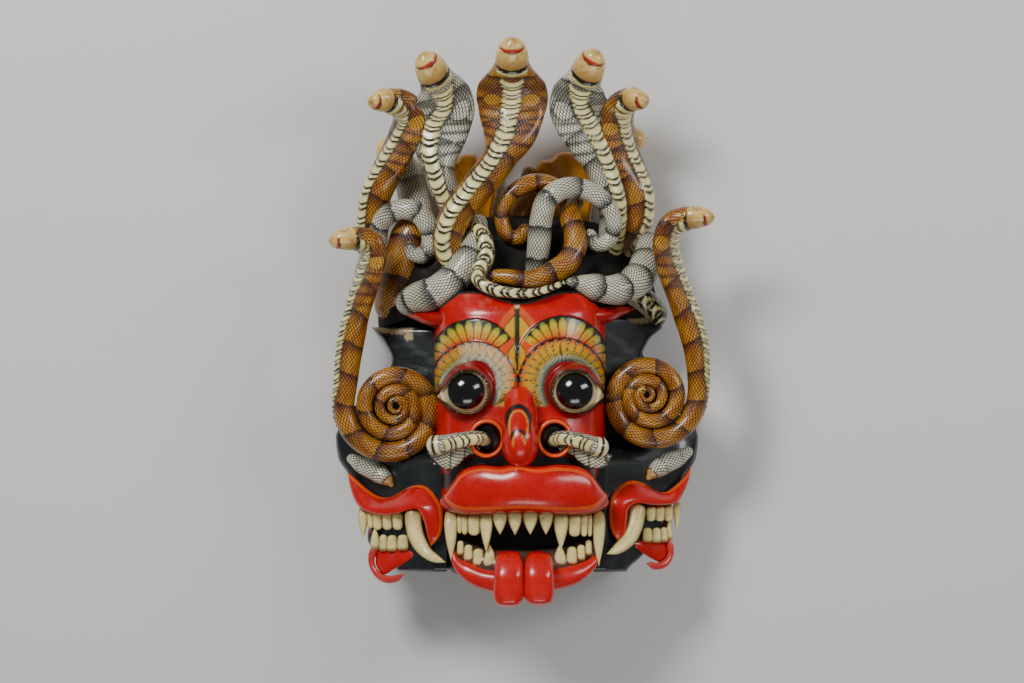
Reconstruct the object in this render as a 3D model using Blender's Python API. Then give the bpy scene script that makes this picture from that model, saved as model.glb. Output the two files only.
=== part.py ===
"""Carved and painted cobra demon mask, lying on its back with the face up.

The mask is laid out on a carver's grid: X runs to the right, Y from the chin up to the
crown, Z out of the face. The grid has GRID_PARTS parts from the tongue to the top of the
crown, so the figure keeps its pose when the height changes. Walls, seams, seats, eyes and
nostrils are real lengths.
"""

import math

import bmesh
import bpy
import numpy as np
from mathutils import Matrix, Vector

# Driving sizes, in metres
MASK_HEIGHT = 0.565
WALL = 0.016
SEAM = 0.0005
EAR_SEAT_HEIGHT = 0.090
EAR_BOSS_RADIUS = 0.031
EYE_RADIUS = 0.0245
NOSTRIL_RADIUS = 0.0135
NOSTRIL_DEPTH = 0.018

# The carver's grid, and the share of its triangles that a joined carving keeps
GRID_PARTS = 565
GRID = MASK_HEIGHT / GRID_PARTS
ROUTE_FINENESS = 24
THINNED = 0.5
THINNED_EAR = 0.62
RELIEF_COLUMNS = (7, 5)
RELIEF_ROWS = 17
HOLLOW_COLUMNS = (4, 3)
HOLLOW_ROWS = 9
CUT_DEPTH = 60
CUT_REACH = 340

# The head block, in parts of the grid
FACE_HALF_WIDTH = 86
FACE_PROFILE = [(-238, 116), (-212, 134), (-172, 150), (-110, 150), (-55, 145), (-10, 151), (25, 147),
                (52, 134)]
FACE_BACK = 60
FACE_SQUARENESS = 3.2
CHIN = -234
SIDE_CHIN = -231
FOREHEAD_TOP = 38
FOREHEAD_HUMP = 11
LEFT_FLANK_TOP = 13
RIGHT_FLANK_TOP = 24
FLANK_DEPTH = 72
CHEEK_DEPTH = 120
CHEEK_SLOPE = 0.80
FLANK_SLOPE = 0.25
LEFT_OUTLINE = [(-236, 120), (-212, 142), (-185, 154), (-160, 163), (-140, 170), (-118, 184), (-98, 186),
                (-80, 176), (-60, 152), (-40, 134), (-20, 129), (0, 138), (15, 150)]
RIGHT_OUTLINE = [(-236, 104), (-212, 126), (-185, 143), (-160, 156), (-140, 165), (-118, 178), (-98, 180),
                 (-80, 170), (-60, 148), (-40, 130), (-20, 122), (0, 130), (15, 144)]
EYE_CENTRES = [(-53, -52), (57, -52)]
EYE_DEPTH = 140
NOSTRIL_CENTRES = [(-33, -97), (34, -97)]
NOSTRIL_FRONT = 166
BOSS_ROOT = 42
EAR_CENTRES = [(-122, -66), (125, -55)]
MOUTH_LOW = (-62, -208)
MOUTH_HIGH = (71, -178)
MOUTH_FLOOR = 60
MOUTH_ROOF = 200
SHOULDER_DROP = 6

# Colours of the paint, as linear RGB
PAINT = {
    "lacquer_red": (0.60, 0.012, 0.008),
    "ochre_scales": (0.42, 0.17, 0.035),
}


def ease(stations, at):
    """Smooth values between stations (place, value), with no overshoot."""
    place = np.array([s[0] for s in stations], float)
    value = np.array([s[1:] for s in stations], float)
    step = np.diff(place)[:, None]
    rise = np.diff(value, axis=0) / step
    slope = np.zeros_like(value)
    same_way = rise[1:] * rise[:-1] > 0
    mean = 2 * rise[1:] * rise[:-1] / np.where(same_way, rise[1:] + rise[:-1], 1)
    slope[1:-1] = np.where(same_way, mean, 0)
    at = np.clip(np.atleast_1d(np.asarray(at, float)), place[0], place[-1])
    i = np.clip(np.searchsorted(place, at, side="right") - 1, 0, len(place) - 2)
    h = step[i]
    t = (at - place[i])[:, None] / h
    return (
        (2 * t**3 - 3 * t**2 + 1) * value[i]
        + (t**3 - 2 * t**2 + t) * h * slope[i]
        + (3 * t**2 - 2 * t**3) * value[i + 1]
        + (t**3 - t**2) * h * slope[i + 1]
    )


def smooth_route(points, fineness=ROUTE_FINENESS):
    """A Catmull-Rom curve through the points, and its length from the start at each of its places."""
    p = np.array(points, float)
    p = np.vstack([2 * p[0] - p[1], p, 2 * p[-1] - p[-2]])
    knots = np.concatenate([[0], np.cumsum(np.linalg.norm(np.diff(p, axis=0), axis=1) ** 0.5)])
    curve = []
    for k in range(1, len(p) - 2):
        t0, t1, t2, t3 = knots[k - 1 : k + 3]
        for t in np.linspace(t1, t2, fineness, endpoint=k == len(p) - 3):
            a1 = (t1 - t) / (t1 - t0) * p[k - 1] + (t - t0) / (t1 - t0) * p[k]
            a2 = (t2 - t) / (t2 - t1) * p[k] + (t - t1) / (t2 - t1) * p[k + 1]
            a3 = (t3 - t) / (t3 - t2) * p[k + 1] + (t - t2) / (t3 - t2) * p[k + 2]
            b1 = (t2 - t) / (t2 - t0) * a1 + (t - t0) / (t2 - t0) * a2
            b2 = (t3 - t) / (t3 - t1) * a2 + (t - t1) / (t3 - t1) * a3
            curve.append((t2 - t) / (t2 - t1) * b1 + (t - t1) / (t2 - t1) * b2)
    curve = np.array(curve)
    along = np.concatenate([[0], np.cumsum(np.linalg.norm(np.diff(curve, axis=0), axis=1))])
    return curve, along


def places_along(curve, along, lengths):
    """The points of a curve at these lengths from its start."""
    lengths = np.clip(lengths, 0, along[-1])
    return np.stack([np.interp(lengths, along, curve[:, i]) for i in range(3)], 1)


def new_solid(name, points, faces, colour):
    """An object from points on the grid, with the named paint."""
    mesh = bpy.data.meshes.new(name)
    mesh.from_pydata([tuple(float(c) * GRID for c in p) for p in points], [], faces)
    shape = bmesh.new()
    shape.from_mesh(mesh)
    bmesh.ops.recalc_face_normals(shape, faces=shape.faces)
    bmesh.ops.triangulate(shape, faces=shape.faces, quad_method="FIXED")
    shape.to_mesh(mesh)
    shape.free()
    obj = bpy.data.objects.new(name, mesh)
    bpy.context.scene.collection.objects.link(obj)
    mesh.materials.append(paint(colour))
    return obj


def paint(colour):
    """The gloss paint of that name, made once."""
    found = bpy.data.materials.get(colour)
    if found:
        return found
    made = bpy.data.materials.new(colour)
    made.use_nodes = True
    shader = made.node_tree.nodes["Principled BSDF"]
    shader.inputs["Base Color"].default_value = (*PAINT[colour], 1)
    shader.inputs["Roughness"].default_value = 0.3
    shader.inputs["Metallic"].default_value = 0
    return made


def sweep(name, route, girth, colour, turn=((0, 0), (1, 0)), step=16, sides=8, close_rings=()):
    """A closed solid swept along a route. girth is (share, half width, half depth), turn is (share, degrees).
    At a turn of 0 the depth of the section faces out of the mask, and the width lies across the route."""
    curve, along = smooth_route(route)
    total = along[-1]
    shares = list(np.linspace(0, 1, max(3, int(math.ceil(total / step)) + 1)))
    if close_rings:
        first = 1 - close_rings[-1] / total
        shares = [s for s in shares if s < first - 0.4 * step / total]
        shares += [1 - c / total for c in reversed(close_rings)]
    shares = np.array(shares)
    centre = places_along(curve, along, shares * total)
    ahead = places_along(curve, along, shares * total + 1)
    behind = places_along(curve, along, shares * total - 1)
    sizes = ease(girth, shares)
    turns = np.radians(ease(turn, shares)[:, 0])
    rings = []
    for c, tangent, (wide, deep), twist in zip(centre, ahead - behind, sizes, turns):
        front, across = section_axes(tangent, twist)
        for k in range(sides):
            angle = 2 * math.pi * k / sides
            rings.append(c + front * deep * math.cos(angle) + across * wide * math.sin(angle))
    return loft(name, np.array(rings).reshape(len(shares), sides, 3), colour)


def section_axes(tangent, twist):
    """The two axes of a section across a tangent: front faces out of the mask, turned by twist."""
    t = tangent / np.linalg.norm(tangent)
    front = np.array([0, 0, 1.0]) - t[2] * t
    front /= np.linalg.norm(front)
    across = np.cross(t, front)
    turned_front = front * math.cos(twist) - across * math.sin(twist)
    turned_across = across * math.cos(twist) + front * math.sin(twist)
    return turned_front, turned_across


def loft(name, rings, colour):
    """A closed solid through rings of points, all with as many points, with flat ends."""
    count, sides, _ = rings.shape
    faces = [list(range(sides))[::-1], [(count - 1) * sides + k for k in range(sides)]]
    for r in range(count - 1):
        for k in range(sides):
            n = (k + 1) % sides
            faces.append([r * sides + k, r * sides + n, (r + 1) * sides + n, (r + 1) * sides + k])
    return new_solid(name, rings.reshape(-1, 3), faces, colour)


def combine(target, tools, operation):
    """Joins all the tools to the target at once, or cuts them all out of it, and removes them."""
    group = bpy.data.collections.new("tools")
    for tool in tools:
        group.objects.link(tool)
    step = target.modifiers.new("tools", "BOOLEAN")
    step.operation = operation
    step.operand_type = "COLLECTION"
    step.collection = group
    step.solver = "EXACT"
    step.use_self = True
    made = bpy.data.meshes.new_from_object(target.evaluated_get(bpy.context.evaluated_depsgraph_get()))
    target.modifiers.clear()
    target.data = made
    drop_crumbs(target)
    for tool in tools:
        bpy.data.objects.remove(tool)
    bpy.data.collections.remove(group)
    return target


def thin_out(obj, share):
    """Merges the slivers that the joins leave, down to a share of the triangles."""
    step = obj.modifiers.new("thin", "DECIMATE")
    step.ratio = share
    step.use_collapse_triangulate = True
    made = bpy.data.meshes.new_from_object(obj.evaluated_get(bpy.context.evaluated_depsgraph_get()))
    obj.modifiers.clear()
    obj.data = made
    return obj


def drop_crumbs(obj, smallest=20):
    """Removes loose crumbs of a few points that a join of rounded shapes can leave behind."""
    shape = bmesh.new()
    shape.from_mesh(obj.data)
    seen = set()
    for start in shape.verts:
        if start in seen:
            continue
        island, waiting = {start}, [start]
        while waiting:
            for edge in waiting.pop().link_edges:
                for vert in edge.verts:
                    if vert not in island:
                        island.add(vert)
                        waiting.append(vert)
        seen |= island
        if len(island) < smallest:
            bmesh.ops.delete(shape, geom=list(island), context="VERTS")
            seen -= island
    shape.to_mesh(obj.data)
    shape.free()


def cylinder(name, centre, radius, low, high, colour, sides=24):
    """An upright cylinder, in parts of the grid."""
    rings = [
        [(centre[0] + radius * math.cos(a), centre[1] + radius * math.sin(a), z) for a in round_angles(sides)]
        for z in (low, high)
    ]
    return loft(name, np.array(rings), colour)


def round_angles(sides):
    return [2 * math.pi * k / sides for k in range(sides)]


def box(name, low, high, colour):
    """A box between two corners, in parts of the grid."""
    corners = ((low[0], low[1]), (high[0], low[1]), (high[0], high[1]), (low[0], high[1]))
    rings = [[(x, y, z) for x, y in corners] for z in (low[2], high[2])]
    return loft(name, np.array(rings, float), colour)


# The head block: one relief over the whole width, hollow behind
def blend(low, high, value):
    t = min(max((value - low) / (high - low), 0), 1)
    return t * t * (3 - 2 * t)


def half_width(x, y):
    """Half the block's width on the side of x, at the height y."""
    return float(ease(LEFT_OUTLINE if x < 0 else RIGHT_OUTLINE, y)[0, 0])


def face_height(x, y, inset):
    """How far the red main face stands out, drawn in by inset on its sides and front."""
    share = abs(x) / (FACE_HALF_WIDTH - inset)
    if share >= 1:
        return 0
    crown = (1 - share**FACE_SQUARENESS) ** (1 / FACE_SQUARENESS)
    front = float(ease(FACE_PROFILE, y)[0, 0])
    return FACE_BACK + (front - FACE_BACK) * crown - inset


def side_height(x, y, inset):
    """How far the black side faces stand out: a scooped flank above, a sloping cheek below."""
    beyond = max(abs(x) - FACE_HALF_WIDTH, 0)
    cheek = CHEEK_DEPTH - CHEEK_SLOPE * beyond
    flank = FLANK_DEPTH - FLANK_SLOPE * beyond
    upper = blend(-124, -96, y)
    return cheek + (flank - cheek) * upper - inset


def brow_height(x, y):
    """The two carved steps of the brow over each eye."""
    rise = 0
    for ex, ey in EYE_CENTRES:
        outer = math.hypot((x - 0.87 * ex) / 1.06, y - ey - 24)
        inner = math.hypot(x - 0.82 * ex, y - ey - 7)
        above = blend(-88, -62, y)
        rise += above * (3.5 * (1 - blend(43, 47, outer)) + 3.0 * (1 - blend(38, 42, inner)))
        rise -= above * 4.0 * (1 - blend(22, 36, inner))
    return rise


def brow_horns(swell):
    """The red points of the brow, over the flanks. swell enlarges them, for what is cut round them."""
    made = []
    for side, tip in (("left", (-120, 28, 76)), ("right", (115, 32, 78))):
        sign = -1 if side == "left" else 1
        level = tip[1] - 12
        middle = (0.5 * (tip[0] + sign * 84), level + 6, 88)
        route = [(sign * 58, level - 4, 116), (sign * 84, level, 102), middle, tip]
        girth = [(0, 20 + swell, 14 + swell), (0.5, 13 + swell, 13 + swell), (0.8, 6.5 + swell, 8 + swell),
                 (1, 1.5 + swell, 3 + swell)]
        made.append(sweep(f"{side}_brow_horn", route, girth, "lacquer_red", step=16, sides=8))
    return made


def block_top(x):
    """The upper edge of the block: two humps over the brows, and the flanks below them."""
    s = abs(x)
    if s > FACE_HALF_WIDTH + 0.5:
        return LEFT_FLANK_TOP if x < 0 else RIGHT_FLANK_TOP
    hump = 0.5 - 0.5 * math.cos(2 * math.pi * min(s, 47) / 94)
    fall = 16 * blend(55, 86, s)
    return FOREHEAD_TOP + FOREHEAD_HUMP * hump - fall


def block_bottom(x):
    s = abs(x)
    return CHIN + (SIDE_CHIN - CHIN) * blend(70, 110, s)


def block_relief(name, inset, grow, floor, ceiling_drop, columns, rows, colour, brows=True):
    """The block's front as a relief over a flat floor. inset draws the whole form in, for the hollow behind,
    and grow swells it, for the seat that is cut into what stands on it."""
    shares = [c / columns[0] for c in range(columns[0] + 1)]
    sides = [c / columns[1] for c in range(columns[1] + 1)]
    width = FACE_HALF_WIDTH - inset
    top = []
    for r in range(rows + 1):
        v = r / rows
        level = SIDE_CHIN + (RIGHT_FLANK_TOP + 10 - SIDE_CHIN) * v
        line = []
        for sign in (-1, 1):
            edge = half_width(sign, level) - inset
            xs = [sign * width * math.sin(0.5 * math.pi * s) for s in shares]
            xs += [sign * (width + 1 + (edge - width - 1) * s) for s in sides]
            line += list(reversed(xs)) if sign < 0 else xs[1:]
        for x in line:
            low, high = block_bottom(x) + inset, block_top(x) - ceiling_drop
            y = low + (high - low) * v
            z = max(face_height(x, y, inset), side_height(x, y, inset))
            if brows and abs(x) < FACE_HALF_WIDTH:
                z += brow_height(x, y)
            top.append((x + math.copysign(grow, x), y + grow * v, z + grow))
    across = len(line)
    points = top + [(x, y, floor) for x, y, z in top]
    under = len(top)
    faces = []
    for r in range(rows):
        for c in range(across - 1):
            a = r * across + c
            faces.append([a, a + 1, a + across + 1, a + across])
            faces.append([under + a, under + a + across, under + a + across + 1, under + a + 1])
    border = [c for c in range(across)] + [r * across + across - 1 for r in range(1, rows + 1)]
    border += [rows * across + c for c in range(across - 2, -1, -1)]
    border += [r * across for r in range(rows - 1, 0, -1)]
    for a, b in zip(border, border[1:] + border[:1]):
        faces.append([a, under + a, under + b, b])
    made = new_solid(name, points, faces, colour)
    simplify_flats(made)
    return made


def simplify_flats(obj, degrees=0.05):
    """Merges faces that lie in one plane, such as the flat floor under a relief."""
    shape = bmesh.new()
    shape.from_mesh(obj.data)
    bmesh.ops.dissolve_limit(shape, angle_limit=math.radians(degrees), verts=shape.verts, edges=shape.edges)
    bmesh.ops.triangulate(shape, faces=shape.faces)
    shape.to_mesh(obj.data)
    shape.free()


def eyeballs():
    made = []
    for k, (x, y) in enumerate(EYE_CENTRES):
        radius = EYE_RADIUS / GRID
        rings = [
            [(x + radius * math.sin(p) * math.cos(a), y + radius * math.sin(p) * math.sin(a),
              EYE_DEPTH + radius * math.cos(p)) for a in round_angles(14)]
            for p in (math.pi * s for s in (0.62, 0.5, 0.36, 0.24, 0.13, 0.03))
        ]
        made.append(loft(f"eyeball_{k}", np.array(rings), "lacquer_red"))
    return made


def nose():
    """The hooked nose, a rounded bar that stands out most above its lower end."""
    route = [(0, -48, 138), (0, -62, 150), (0, -82, 166), (0, -100, 176), (0, -113, 172), (0, -120, 160)]
    girth = [(0, 8, 8), (0.15, 15, 13), (0.45, 17, 18), (0.75, 18, 20), (0.92, 16.5, 17), (1, 12, 11)]
    return sweep("nose", route, girth, "lacquer_red", step=10, sides=12)


def nostril_wings():
    """The flared wings, bored out for the small cobras that come out of them."""
    wings, bores = [], []
    for k, (x, y) in enumerate(NOSTRIL_CENTRES):
        bore = NOSTRIL_RADIUS / GRID
        wings.append(cylinder(f"wing_{k}", (x, y), bore + 5.5, 120, NOSTRIL_FRONT, "lacquer_red", 16))
        depth = NOSTRIL_DEPTH / GRID
        bores.append(cylinder(f"wing_bore_{k}", (x, y), bore, NOSTRIL_FRONT - depth, NOSTRIL_FRONT + 20,
                              "lacquer_red", 14))
    return wings, bores


def lips():
    upper = sweep(
        "upper_lip",
        [(-74, -150, 140), (-64, -147, 151), (-40, -145, 163), (3, -144, 169), (46, -145, 163),
         (72, -147, 151), (83, -150, 140)],
        [(0, 8, 10), (0.1, 18, 17), (0.28, 24, 19), (0.5, 25, 20), (0.72, 24, 19), (0.9, 18, 17), (1, 8, 10)],
        "lacquer_red", step=15, sides=10)
    lower = sweep(
        "lower_lip",
        [(-66, -206, 132), (-58, -221, 140), (-35, -232, 148), (3, -237, 152), (40, -232, 148),
         (64, -219, 140), (74, -204, 132)],
        [(0, 5, 6), (0.15, 11, 13), (0.5, 13, 15), (0.85, 11, 13), (1, 5, 6)],
        "lacquer_red", step=17, sides=8)
    gum = sweep(
        "upper_gum",
        [(-76, -163, 130), (-62, -166, 142), (-35, -168, 150), (3, -169, 154), (42, -168, 150),
         (70, -166, 142), (84, -163, 130)],
        [(0, 7, 10), (0.2, 10, 12), (0.8, 10, 12), (1, 7, 10)],
        "lacquer_red", step=24, sides=7)
    jaw = sweep(
        "lower_gum",
        [(-64, -206, 116), (-40, -219, 128), (3, -227, 132), (46, -219, 128), (72, -206, 116)],
        [(0, 12, 14), (0.5, 18, 24), (1, 12, 14)],
        "lacquer_red", step=24, sides=7)
    tongue = [
        sweep(
            f"tongue_{side}",
            [(x, -214, 140), (x, -219, 160), (x, -229, 172), (x, -242, 175), (x, -252, 169), (x, -259, 160)],
            [(0, 14, 9), (0.3, 16, 11), (0.7, 16, 11), (0.9, 14, 9), (1, 9, 5)],
            "lacquer_red", step=13, sides=8)
        for side, x in (("left", -11.5), ("right", 18.5))
    ]
    return [upper, lower, gum, jaw, *tongue]


def tooth(name, x, y, z, width, length, pointed):
    """One tooth from the gum at (x, y, z). A negative length grows it upwards from the lower jaw."""
    down = -length
    route = [(x, y - 0.25 * down, z - 4), (x, y + 0.3 * down, z), (x, y + 0.7 * down, z), (x, y + down, z)]
    tip = (1.2, 1.5) if pointed else (0.46 * width, 3.5)
    middle = 0.42 if pointed else 0.56
    thick = 4 if pointed else 5
    girth = [(0, 0.48 * width, 5), (0.35, 0.57 * width, 6), (0.75, middle * width, thick), (1, *tip)]
    return sweep(name, route, girth, "lacquer_red", step=abs(length) * 0.55, sides=6)


def main_teeth():
    """Upper and lower teeth of the main mouth, set along the curve of the jaws."""
    made = []
    upper = [(-72, 13, 42, True), (-60, 9, 20, False), (-50, 11, 20, False), (-35, 14, 40, True),
             (-20, 15, 22, True), (-4, 15, 22, True), (12, 15, 22, True), (28, 15, 22, True),
             (43, 14, 38, True), (57, 12, 20, False), (68, 9, 20, False), (79, 13, 44, True)]
    for k, (x, width, length, pointed) in enumerate(upper):
        depth = 158 - 0.0035 * (x - 3) ** 2
        made.append(tooth(f"upper_tooth_{k}", x, -170, depth, width, length, pointed))
    lower = [(-58, 11, 17, False), (-47, 11, 18, False), (-35, 12, 22, True), (44, 12, 24, True),
             (57, 11, 18, False), (68, 10, 17, False)]
    for k, (x, width, length, pointed) in enumerate(lower):
        depth = 150 - 0.0035 * (x - 3) ** 2
        gum = -226 + 0.0035 * (x - 3) ** 2
        made.append(tooth(f"lower_tooth_{k}", x, gum, depth, width, -length, pointed))
    return made


def side_mouth(side):
    """The smaller mouth on a side face: hooked lip, rolled lower lip, teeth and the long tusk."""
    sign = -1 if side == "left" else 1
    drop = 0 if side == "left" else 4
    narrow = 1.0 if side == "left" else 0.93

    def at(x, y, lift):
        px = sign * (FACE_HALF_WIDTH + (x - FACE_HALF_WIDTH) * narrow)
        return (px, y + drop, side_height(px, y, 0) + lift)

    lip = sweep(
        f"{side}_side_lip",
        [at(171, -136, 2), at(160, -152, 4), at(143, -161, 6), at(120, -159, 7), at(98, -160, 8),
         at(86, -172, 8), at(83, -192, 7), at(88, -209, 5)],
        [(0, 2.5, 4), (0.14, 9, 9), (0.35, 12, 11), (0.6, 12, 12), (0.8, 11, 10), (1, 2, 4)],
        "lacquer_red", step=15, sides=8)
    roll = sweep(
        f"{side}_side_roll",
        [at(138, -205, 3), at(149, -212, 4), at(151, -226, 5), at(142, -238, 5), at(126, -240, 3)],
        [(0, 4, 6), (0.3, 6, 8), (0.7, 6, 8), (1, 3, 5)],
        "lacquer_red", step=13, sides=7)
    lower = sweep(
        f"{side}_side_lower_lip",
        [at(142, -222, -6), at(125, -219, -4), at(100, -212, -6), at(84, -205, -10)],
        [(0, 12, 10), (0.4, 12, 12), (1, 8, 8)],
        "lacquer_red", step=20, sides=8)
    tusk = sweep(
        f"{side}_tusk",
        [at(110, -166, 6), at(109, -184, 12), at(104, -202, 15), at(92, -215, 14), at(77, -221, 12)],
        [(0, 7, 6), (0.35, 8.5, 8), (0.7, 6.5, 6.5), (1, 1.5, 1.5)],
        "lacquer_red", step=14, sides=7)
    gums = sweep(
        f"{side}_side_gums",
        [at(150, -188, -14), at(130, -193, -12), at(104, -195, -12)],
        [(0, 18, 8), (0.5, 22, 10), (1, 20, 8)],
        "lacquer_red", step=24, sides=6)
    teeth = []
    for k, (x, width, length) in enumerate([(157, 9, 27), (147, 8, 19), (137, 10, 18), (126, 11, 18)]):
        px, py, pz = at(x, -168, 6)
        teeth.append(tooth(f"{side}_side_upper_{k}", px, py, pz, width, length, k == 0))
    for k, (x, width, length) in enumerate([(144, 9, 20), (133, 10, 15), (122, 10, 15)]):
        px, py, pz = at(x, -211, 5)
        teeth.append(tooth(f"{side}_side_lower_{k}", px, py, pz, width, -length, k == 0))
    return [lip, roll, lower, tusk, gums, *teeth]


# Cobras: the girth from the snout back over the head, neck and hood to the body
HEAD_LENGTH = 44
COBRA_RINGS = (0.0, 4, 11, 22, 34, 42, 50, 62, 78, 98, 120)


def cobra_girth(length, body, hood, head=1.0, tail=None):
    """Half widths and depths along a cobra from its tail to its snout."""
    back = [(0, 2.2, 2.2), (3.5, 7.5, 6.2), (10, 12, 9.5), (21, 15, 12.3), (32, 15.3, 13), (38, 14.5, 12)]
    stations = [(d * head, w * head, t * head) for d, w, t in back]
    stations += [(47 * head, 0.72 * hood + 2, 10.5), (60, 0.95 * hood, 10.5), (74, hood, 10),
                 (92, 0.92 * hood, 11), (116, 0.5 * hood + 0.5 * body, 0.86 * body), (142, body, body)]
    shares = [(1 - d / length, w, t) for d, w, t in reversed(stations)]
    start = tail if tail is not None else [(0, body)]
    return [(s, r, r) for s, r in start] + [s for s in shares if s[0] > start[-1][0] + 0.02]


def cobra(name, route, body, hood, turn, head=1.0, tail=None, colour="ochre_scales"):
    length = smooth_route(route)[1][-1]
    rings = [d * head if d <= HEAD_LENGTH else d for d in COBRA_RINGS]
    return sweep(name, route, cobra_girth(length, body, hood, head, tail), colour, turn, 19, 8, rings)


def coil(name, route, radii, step=15, sides=7, turn=((0, 0), (1, 0))):
    """A plain length of snake, with (share, radius) along it."""
    return sweep(name, route, [(s, r, r) for s, r in radii], "ochre_scales", turn, step, sides)


def crown_cobras():
    """The five large hooded cobras of the crown and the two small ones behind them."""
    return [
        cobra("middle_cobra",
              [(-50, 62, 84), (-66, 78, 96), (-72, 100, 106), (-64, 124, 110), (-46, 148, 110),
               (-24, 176, 106), (-11, 205, 100), (-8, 240, 95), (-8, 266, 100), (-8, 283, 119), (-8, 296, 150)],
              17, 36, [(0, 25), (0.5, 22), (0.7, 8), (0.8, 0), (1, 0)], tail=[(0, 11), (0.1, 15)]),
        cobra("left_grey_cobra",
              [(-48, 74, 70), (-56, 108, 78), (-68, 134, 84), (-78, 158, 87), (-82, 186, 88), (-78, 216, 88),
               (-77, 240, 92), (-87, 261, 112), (-103, 274, 140)],
              15, 31, [(0, 0), (0.5, 0), (0.75, -8), (1, -10)], tail=[(0, 12)]),
        cobra("right_grey_cobra",
              [(86, 74, 62), (92, 104, 70), (93, 134, 80), (86, 160, 86), (74, 190, 88), (62, 220, 88),
               (60, 243, 92), (68, 264, 112), (80, 277, 140)],
              16, 30, [(0, -30), (0.5, -25), (0.75, 4), (1, 8)], tail=[(0, 13)]),
        cobra("left_brown_cobra",
              [(-124, 34, 42), (-142, 64, 46), (-150, 96, 50), (-149, 120, 56), (-145, 144, 62),
               (-132, 172, 68), (-118, 200, 74), (-111, 219, 79), (-116, 233, 89), (-129, 239, 102),
               (-150, 237, 122)],
              15.5, 26, [(0, 50), (0.5, 55), (0.8, 52), (1, 55)], head=0.86, tail=[(0, 14)]),
        cobra("right_brown_cobra",
              [(92, 52, 50), (97, 78, 54), (106, 98, 58), (116, 120, 62), (117, 142, 65), (111, 166, 68),
               (103, 192, 73), (98, 216, 79), (100, 232, 88), (109, 240, 101), (127, 238, 120)],
              18, 25, [(0, -50), (0.5, -55), (0.8, -50), (1, -55)], head=0.86, tail=[(0, 15)]),
        coil("left_back_cobra",
             [(-92, 84, 34), (-104, 130, 34), (-114, 168, 34), (-126, 189, 40), (-144, 194, 52)],
             [(0, 14), (0.5, 16), (0.75, 13), (0.9, 11), (1, 4)], step=22),
        coil("right_back_cobra",
             [(92, 84, 34), (98, 130, 32), (103, 172, 34), (112, 199, 42), (123, 206, 56)],
             [(0, 14), (0.5, 14), (0.75, 12), (0.9, 11), (1, 4)], step=22),
    ]


def crown_coils():
    """The looped tails and thick bodies over the brow."""
    return [
        coil("left_root", [(-136, 20, 46), (-124, 50, 54), (-114, 86, 58), (-108, 122, 60), (-104, 140, 56)],
             [(0, 15), (0.3, 23), (0.7, 20), (1, 8)]),
        coil("left_grey_loop",
             [(-142, 92, 62), (-141, 114, 70), (-130, 127, 79), (-115, 131, 84), (-101, 126, 86),
              (-91, 112, 87), (-89, 96, 87), (-97, 85, 88), (-108, 88, 90), (-110, 98, 92)],
             [(0, 9), (0.3, 10.5), (0.65, 10.5), (0.88, 8.5), (1, 5)], step=13),
        coil("brown_curl",
             [(52, 132, 68), (40, 149, 78), (26, 156, 86), (8, 156, 92), (-8, 147, 94), (-17, 132, 94),
              (-18, 118, 94), (-12, 105, 95), (-2, 102, 96), (4, 109, 98), (3, 116, 99)],
             [(0, 9), (0.3, 9.7), (0.6, 7.6), (0.85, 7.4), (0.93, 7.6), (1, 6)], step=13),
        coil("grey_ring",
             [(16, 56, 88), (17, 74, 96), (19, 98, 103), (21, 120, 107), (27, 139, 109), (41, 150, 109),
              (61, 151, 106), (79, 142, 103), (90, 130, 101), (94, 115, 99), (88, 99, 98), (76, 96, 99),
              (71, 105, 101), (73, 110, 102)],
             [(0, 11), (0.15, 12), (0.35, 11.5), (0.6, 10.2), (0.8, 8), (0.93, 8), (1, 6.5)], step=13),
        coil("brown_ring",
             [(-54, 60, 104), (-37, 63, 113), (-15, 63, 120), (11, 60, 123), (31, 67, 120), (47, 77, 116),
              (55, 93, 111), (54, 109, 105), (50, 123, 97), (52, 135, 86), (60, 140, 74)],
             [(0, 6), (0.2, 7.5), (0.38, 9.5), (0.55, 12.2), (0.7, 11.6), (0.85, 10.5), (1, 8)], step=15),
        coil("left_grey_body",
             [(-118, 33, 74), (-104, 42, 94), (-86, 47, 108), (-66, 61, 112), (-50, 84, 108), (-42, 106, 96),
              (-42, 124, 84)],
             [(0, 13), (0.3, 16.5), (0.7, 15), (1, 9)]),
        coil("brow_chain",
             [(-46, 117, 96), (-36, 101, 112), (-34, 83, 119), (-42, 66, 127), (-38, 56, 139), (-23, 49, 146),
              (-7, 46.5, 150), (8, 46, 150), (23, 49, 148), (34, 53, 144), (44, 57, 138)],
             [(0, 8), (0.3, 9), (0.45, 7), (0.65, 5.5), (0.9, 3.5), (1, 2.5)], step=13, sides=6),
        coil("right_grey_body",
             [(46, 58, 132), (56, 57, 128), (70, 54, 124), (86, 50, 119), (104, 52, 110), (120, 64, 94),
              (128, 86, 76), (126, 108, 60)],
             [(0, 3), (0.1, 9), (0.25, 14), (0.6, 16.5), (0.85, 14), (1, 10)]),
        coil("right_low_belly", [(100, 52, 86), (120, 43, 88), (134, 31, 80), (140, 20, 62)],
             [(0, 11), (0.4, 12), (0.8, 11), (1, 7)], step=16),
        coil("back_stem", [(-14, 70, 40), (-8, 108, 38), (6, 144, 32), (10, 176, 28)],
             [(0, 12), (0.6, 13), (1, 7)], step=24),
    ]


def crown_block():
    """The wood behind the coils that the crown is carved out of, with its broad foot on the head."""
    outline = [(-144, LEFT_FLANK_TOP - 3), (-86, LEFT_FLANK_TOP - 3), (88, RIGHT_FLANK_TOP - 3),
               (140, RIGHT_FLANK_TOP - 3), (136, 64), (112, 104), (60, 122), (-60, 122), (-112, 104),
               (-146, 62)]
    rings = [[(x * spread, 66 + (y - 66) * spread, z) for x, y in outline]
             for spread, z in ((0.94, -8), (1, 8), (1, 46), (0.9, 68), (0.6, 92))]
    return loft("crown_wood", np.array(rings), "ochre_scales")


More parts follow.
